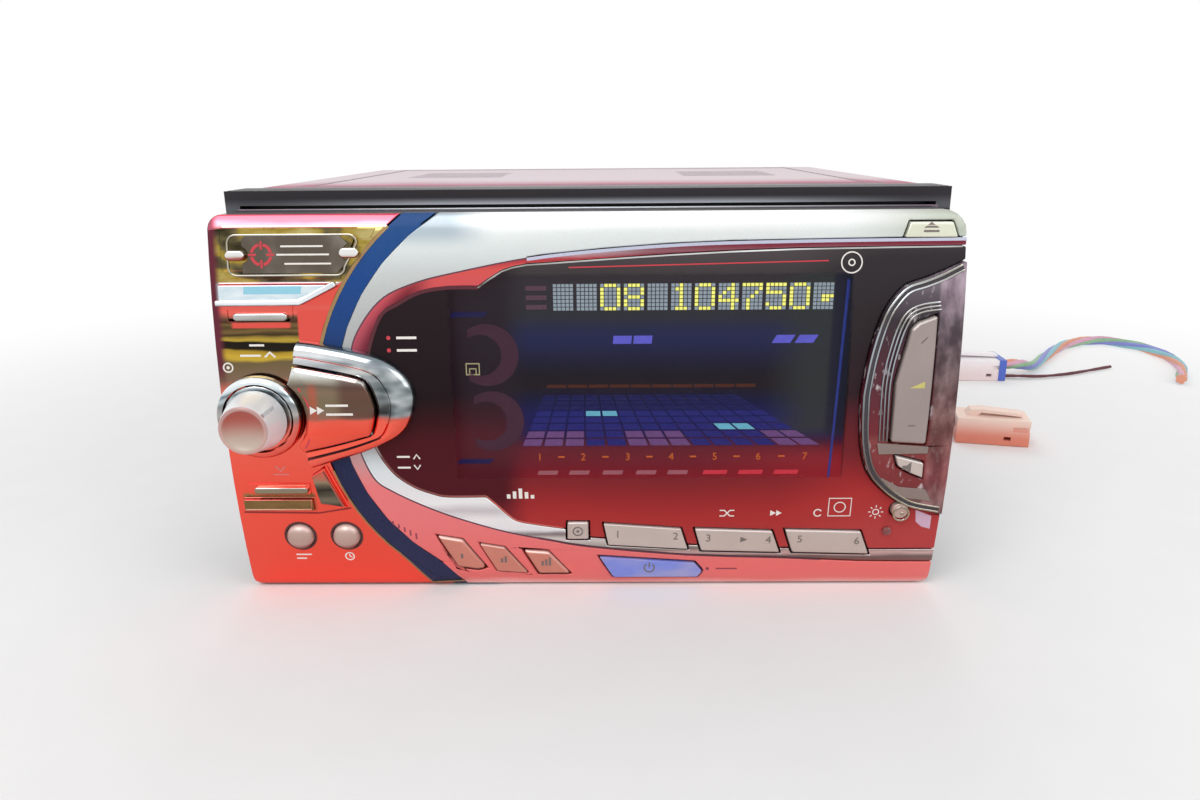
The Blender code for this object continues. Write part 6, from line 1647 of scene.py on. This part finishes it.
for turn in GROOVE_TURNS:
    out = Vector((math.cos(math.radians(turn)), 0, math.sin(math.radians(turn))))
    side = Vector((-out.z, 0, out.x))

    def along_knob(a, depth, b):
        return Vector((KNOB[0], FACE_Y + depth, PANEL_LIFT + KNOB[1])) + out * a + side * b

    grooves.append(prism(box_outline(GROOVE_LOW, GROOVE_HIGH), *GROOVE_REACH, along_knob))
knob = changed(knob, grooves)
satin = Finish("satin_aluminium", Metallic=0.25)
turning = satin.noise(900, (0.05, 3, 0.05), 2.0)
# Painted light and reflection on the knob: faces that look up and right are painted white as highlights, the
# rest pink as the reflection of red surroundings; the dish is painted red high up as a reflection and cream
# low down, with a pink rim.
lean = satin.slope(2) * 0.8 + satin.slope(0) * 0.6
shade = satin.mix(satin.rise(lean, -0.9, 0.1), tone(204, 128, 118), tone(242, 244, 246))
hub = Vector((KNOB[0], FACE_Y - KNOB_LONG, PANEL_LIFT + KNOB[1])) * MM
reach = satin.node("ShaderNodeVectorMath", {"operation": "DISTANCE"}, {0: satin.spot(), 1: hub}, 1)
rise = satin.past(2, hub.z - DISH_LOW * MM, hub.z + DISH_HIGH * MM)
dish_reflection = satin.mix(rise, tone(190, 172, 158), tone(168, 80, 68))
rim = satin.mix(rise, tone(204, 166, 156), tone(180, 140, 136))
shade = satin.mix(satin.rise(reach, 0.0060, 0.0056), shade, rim)
shade = satin.mix(satin.rise(reach, 0.0051, 0.0047), shade, dish_reflection)
satin.set(Base_Color=shade, Roughness=turning * 0.14 + 0.26, Normal=satin.bump(turning, 0.00001))
settle("turned_knob", knob, satin.material, "knob", 0.1, ("rotary_knob",), 35)


# Keys
# Champagne lacquered caps with soft edges that slide into the face or rock about their middles;
# one is pale blue. Each carries a number or a plain sign. The round ones stand in wells painted
# dark as shade, and all but the blue cap have painted highlights on top edges and painted shade below.
DOME_PROFILE = (
    (0, 5.2), (3.5, 5.2), (3.5, 0.3), (3.38, -0.5), (3.0, -1.1), (2.3, -1.6), (1.3, -1.9), (0.01, -2.0),
)
ROUND_KEYS = {"auto": (-74.2, 15.5), "clock": (-62.3, 15.5)}
WELL_RADIUS, WELL_WIDE, WELL_OUT = 3.95, 0.55, 0.04
KEY_PROUD, ROCKER_PROUD, SIGN_WIDE, NUMBER_SIZE, NUMBER_DROP = 0.5, 2.0, 0.35, 3.0, 0.6
PRESET_NUMBERS = ((7.4, 22.2, 15.8), (30.6, 46.0, 14.6), (54.0, 68.6, 14.2))
DIMMER_RING, DIMMER_DOT = (78.6, 22.0), (78.9, 22.0)
PLAY_SIGN = ((38.8, 13.4), (40.6, 14.2), (38.8, 15.0))
SPEAKER_SIGN = ((77.2, 35.6), (78.2, 35.6), (79.3, 36.6), (79.3, 33.6), (78.2, 34.6), (77.2, 34.6))
OPEN_ARROW, OPEN_BAR = ((78.8, 92.6), (82.4, 92.6), (80.6, 93.9)), ((78.8, 91.6), (82.4, 92.1))
POWER_SIGN, POWER_STROKE, DISC_KEY_SIGN = (15.6, 5.6), ((15.6, 5.7), (15.6, 7.3)), (-2.8, 16.8)
VOLUME_STROKES = (((79.0, 66.2), (80.4, 67.6)), ((77.4, 46), (79.2, 46)))
ANALYSER_SIGNS = ((-33.0, 9.8), (-22.2, 8.4), (-11.2, 7.4))
STEP_PITCH, STEP_WIDE, STEP_RISE = 0.95, 0.6, 0.6
VOLUME_WEDGE, SKIRT_DOT, SKIRT_DASH = ((77.0, 55.4), (80.6, 55.4), (80.6, 57.0)), (30.8, 5.0), (33, 5.0, 5.5)
SKIRT_STEPS, SKIRT_STEP_COUNT = (-50.0, 18.8, 19.8), 5


def lacquered(name, low, high, edges, under):
    """Fine flake in lacquer, with painted highlights on the edges that look up and painted shade
    on those that look down.
    """
    lacquer = Finish(name, Metallic=0.3, Coat_Weight=0.15)
    fine = lacquer.noise(1500)
    shade = lacquer.mix(lacquer.noise(70) * 0.8 + fine * 0.2, tone(*low), tone(*high))
    shade = lacquer.mix(lacquer.rise(lacquer.slope(2), 0.25, 0.7), shade, tone(*edges))
    shade = lacquer.mix(lacquer.rise(0 - lacquer.slope(2), 0.25, 0.7), shade, tone(*under))
    return lacquer.set(Base_Color=shade, Roughness=fine * 0.14 + 0.30)


def key_ring(centre, radius, start, end):
    return ribbon(arc(centre, radius, start, end, 18), SIGN_WIDE, KEY_PROUD)


champagne = lacquered("champagne", (184, 166, 158), (210, 196, 188), (240, 234, 230), (110, 72, 68))
mushroom = lacquered("mushroom", (142, 128, 124), (166, 152, 148), (214, 204, 198), (150, 96, 86))
rose = lacquered("rose_champagne", (196, 118, 100), (214, 140, 122), (252, 226, 216), (116, 62, 50))
dome_metal = lacquered("dome_metal", (170, 140, 130), (198, 168, 158), (230, 210, 202), (130, 70, 62))
pale_gold = lacquered("pale_gold", (206, 206, 184), (222, 224, 206), (246, 246, 238), (150, 150, 120))
blue = Finish("blue_lacquer", Coat_Weight=0.4, Coat_Roughness=0.08)
drift = blue.noise(90, (0.6, 1, 2))
shade = blue.mix(blue.rise(drift, 0.35, 0.65), tone(122, 138, 222), tone(170, 164, 204))
blue.set(Base_Color=shade, Roughness=drift * 0.2 + 0.2)
well_shade = grained("key_well_shade", (84, 30, 30), 0.4)
grey_print = grained("grey_print", (116, 104, 100), 0.5)
yellow_print = grained("yellow_print", (196, 186, 108), 0.4)
maroon_print = grained("maroon_print", (140, 60, 80), 0.5)
for finish, edge, nodes in (
    (dome_metal, 0.8, ("dimmer_key",)), (pale_gold, 0.35, ("open_key",)), (champagne, 0.4, ("mute_key",)),
    (champagne, 0.5, ("disc_key", "preset_rocker_1", "preset_rocker_2", "preset_rocker_3")),
    (blue.material, 0.35, ("source_key",)), (mushroom, 0.8, ("volume_rocker",)),
    (rose, 0.9, ("analyser_key_1", "analyser_key_2", "analyser_key_3")),
):
    for node in nodes:
        dress(node, finish, edge, segments=4)
for body, (x, z) in ROUND_KEYS.items():
    cap = turned(DOME_PROFILE, on_face(x, 0, z), "Y", 28)
    settle(body + "_cap", cap, dome_metal, body, 0, (body + "_key",), 50)
# Dark rings painted round the round keys as the shade in their wells.
wells = [
    ribbon(circle(place, WELL_RADIUS, 28), WELL_WIDE, closed=True, out=WELL_OUT)
    for place in ROUND_KEYS.values()
]
settle("round_well_shades", wells, well_shade)
ring = [
    ribbon(circle(DIMMER_RING, 1.9), 0.5, 1.0, closed=True, out=0.5),
    mark(circle(DIMMER_DOT, 0.5, 14), 1.2, out=0.2),
]
settle("dimmer_ring", ring, bright, "dimmer", 0.12)
for k, (left, right, z) in enumerate(PRESET_NUMBERS):
    numbers = [
        numeral(str(2 * k + 1), left, z, NUMBER_SIZE, KEY_PROUD),
        numeral(str(2 * k + 2), right, z - NUMBER_DROP, NUMBER_SIZE, KEY_PROUD),
    ]
    if k == 1:
        numbers.append(mark(PLAY_SIGN, KEY_PROUD))
    settle(f"preset_numbers_{k + 1}", numbers, grey_print, f"preset_{k + 1}")
signs = {
    "open": [mark(OPEN_ARROW, KEY_PROUD), mark(box_outline(*OPEN_BAR), KEY_PROUD)],
    "source": [key_ring(POWER_SIGN, 1.3, 125, 415), ribbon(POWER_STROKE, SIGN_WIDE, KEY_PROUD)],
    "disc_select": [key_ring(DISC_KEY_SIGN, 1.2, 0, 350), mark(circle(DISC_KEY_SIGN, 0.4, 12), KEY_PROUD)],
    "volume": [ribbon(stroke, 0.3, ROCKER_PROUD) for stroke in VOLUME_STROKES],
    "mute": [mark(SPEAKER_SIGN, ROCKER_PROUD)],
}
for k, (x, z) in enumerate(ANALYSER_SIGNS):
    steps = []
    for j in range(k + 1):
        left = x - STEP_WIDE / 2 + (j - k / 2) * STEP_PITCH
        high = (left + STEP_WIDE, z + 0.3 + STEP_RISE * j)
        steps.append(mark(box_outline((left, z - 1), high), KEY_PROUD))
    signs[f"analyser_{k + 1}"] = steps
for body, shapes in signs.items():
    settle(body + "_sign", shapes, grey_print, body)
settle("volume_wedge", mark(VOLUME_WEDGE, ROCKER_PROUD), yellow_print, "volume")
skirt = [mark(circle(SKIRT_DOT, 0.45, 14)), dash(*SKIRT_DASH, 0.35)]
left, foot, top = SKIRT_STEPS
for k in range(SKIRT_STEP_COUNT):
    x = left + 1.4 * k
    skirt.append(ribbon([(x, foot - 1.1 * k), (x, top - 0.9 * k)], 0.4))
settle("skirt_marks", skirt, maroon_print)


# Studio
# A pale sheet under the unit that turns pure white away from it, one large soft lamp high at
# the left front, weaker ones at the right and behind, and an even surround.
FLOOR_HALF, FLOOR_DROP, FLOOR_NEAR, FLOOR_FAR = 6.0, 0.0002, 0.18, 0.46
AIM = (0, 0, 0.05)
LAMPS = {
    "key_lamp": ((-0.35, -0.75, 0.85), 0.7, 5.0), "fill_lamp": ((0.65, -0.55, 0.55), 0.6, 1.6),
    "back_lamp": ((0.05, 0.75, 0.8), 0.6, 2.0),
}
SURROUND_LIGHT = 0.55

for name, (place, size, power) in LAMPS.items():
    data = bpy.data.lights.new(name, "AREA")
    data.size = size
    data.energy = power
    light = bpy.data.objects.new(name, data)
    light.location = place
    light.rotation_euler = (Vector(AIM) - Vector(place)).to_track_quat("-Z", "Y").to_euler()
    bpy.context.scene.collection.objects.link(light)

sheet = bmesh.new()
corners = box_outline((-FLOOR_HALF, -FLOOR_HALF), (FLOOR_HALF, FLOOR_HALF))
sheet.faces.new([sheet.verts.new((x, y, -FLOOR_DROP)) for x, y in corners])
mesh = bpy.data.meshes.new("floor")
sheet.to_mesh(mesh)
sheet.free()
floor = bpy.data.objects.new("floor", mesh)
bpy.context.scene.collection.objects.link(floor)
paper = Finish("paper", Roughness=0.9, Specular_IOR_Level=0.1)
paper.set(Base_Color=paper.mix(paper.noise(60), (0.90, 0.90, 0.90), (0.93, 0.93, 0.93)))
away = paper.node("ShaderNodeVectorMath", {"operation": "LENGTH"}, {0: paper.spot()}, 1)
glow = paper.node("ShaderNodeEmission", None, {"Color": (1, 1, 1), "Strength": 1.0})
inputs = {0: paper.rise(away, FLOOR_NEAR, FLOOR_FAR), 1: Shade(paper, paper.shader.outputs[0]), 2: glow}
blend = paper.node("ShaderNodeMixShader", None, inputs)
paper.join(paper.tree.nodes["Material Output"].inputs["Surface"], blend)
floor.data.materials.append(paper.material)

world = bpy.data.worlds.new("surround")
bpy.context.scene.world = world
world.use_nodes = True
sky = Nodes(world.node_tree)
camera_ray, glossy_ray, through_ray = (
    sky.node("ShaderNodeLightPath", output=f"Is {kind} Ray") for kind in ("Camera", "Glossy", "Transmission")
)
seen = camera_ray | glossy_ray | through_ray
strength = sky.node("ShaderNodeMapRange", None, {"Value": seen, "To Min": SURROUND_LIGHT, "To Max": 1.0})
back = sky.tree.nodes["Background"]
sky.join(back.inputs["Color"], (1, 1, 1))
sky.join(back.inputs["Strength"], strength)

bpy.context.scene.view_settings.view_transform = "Standard"
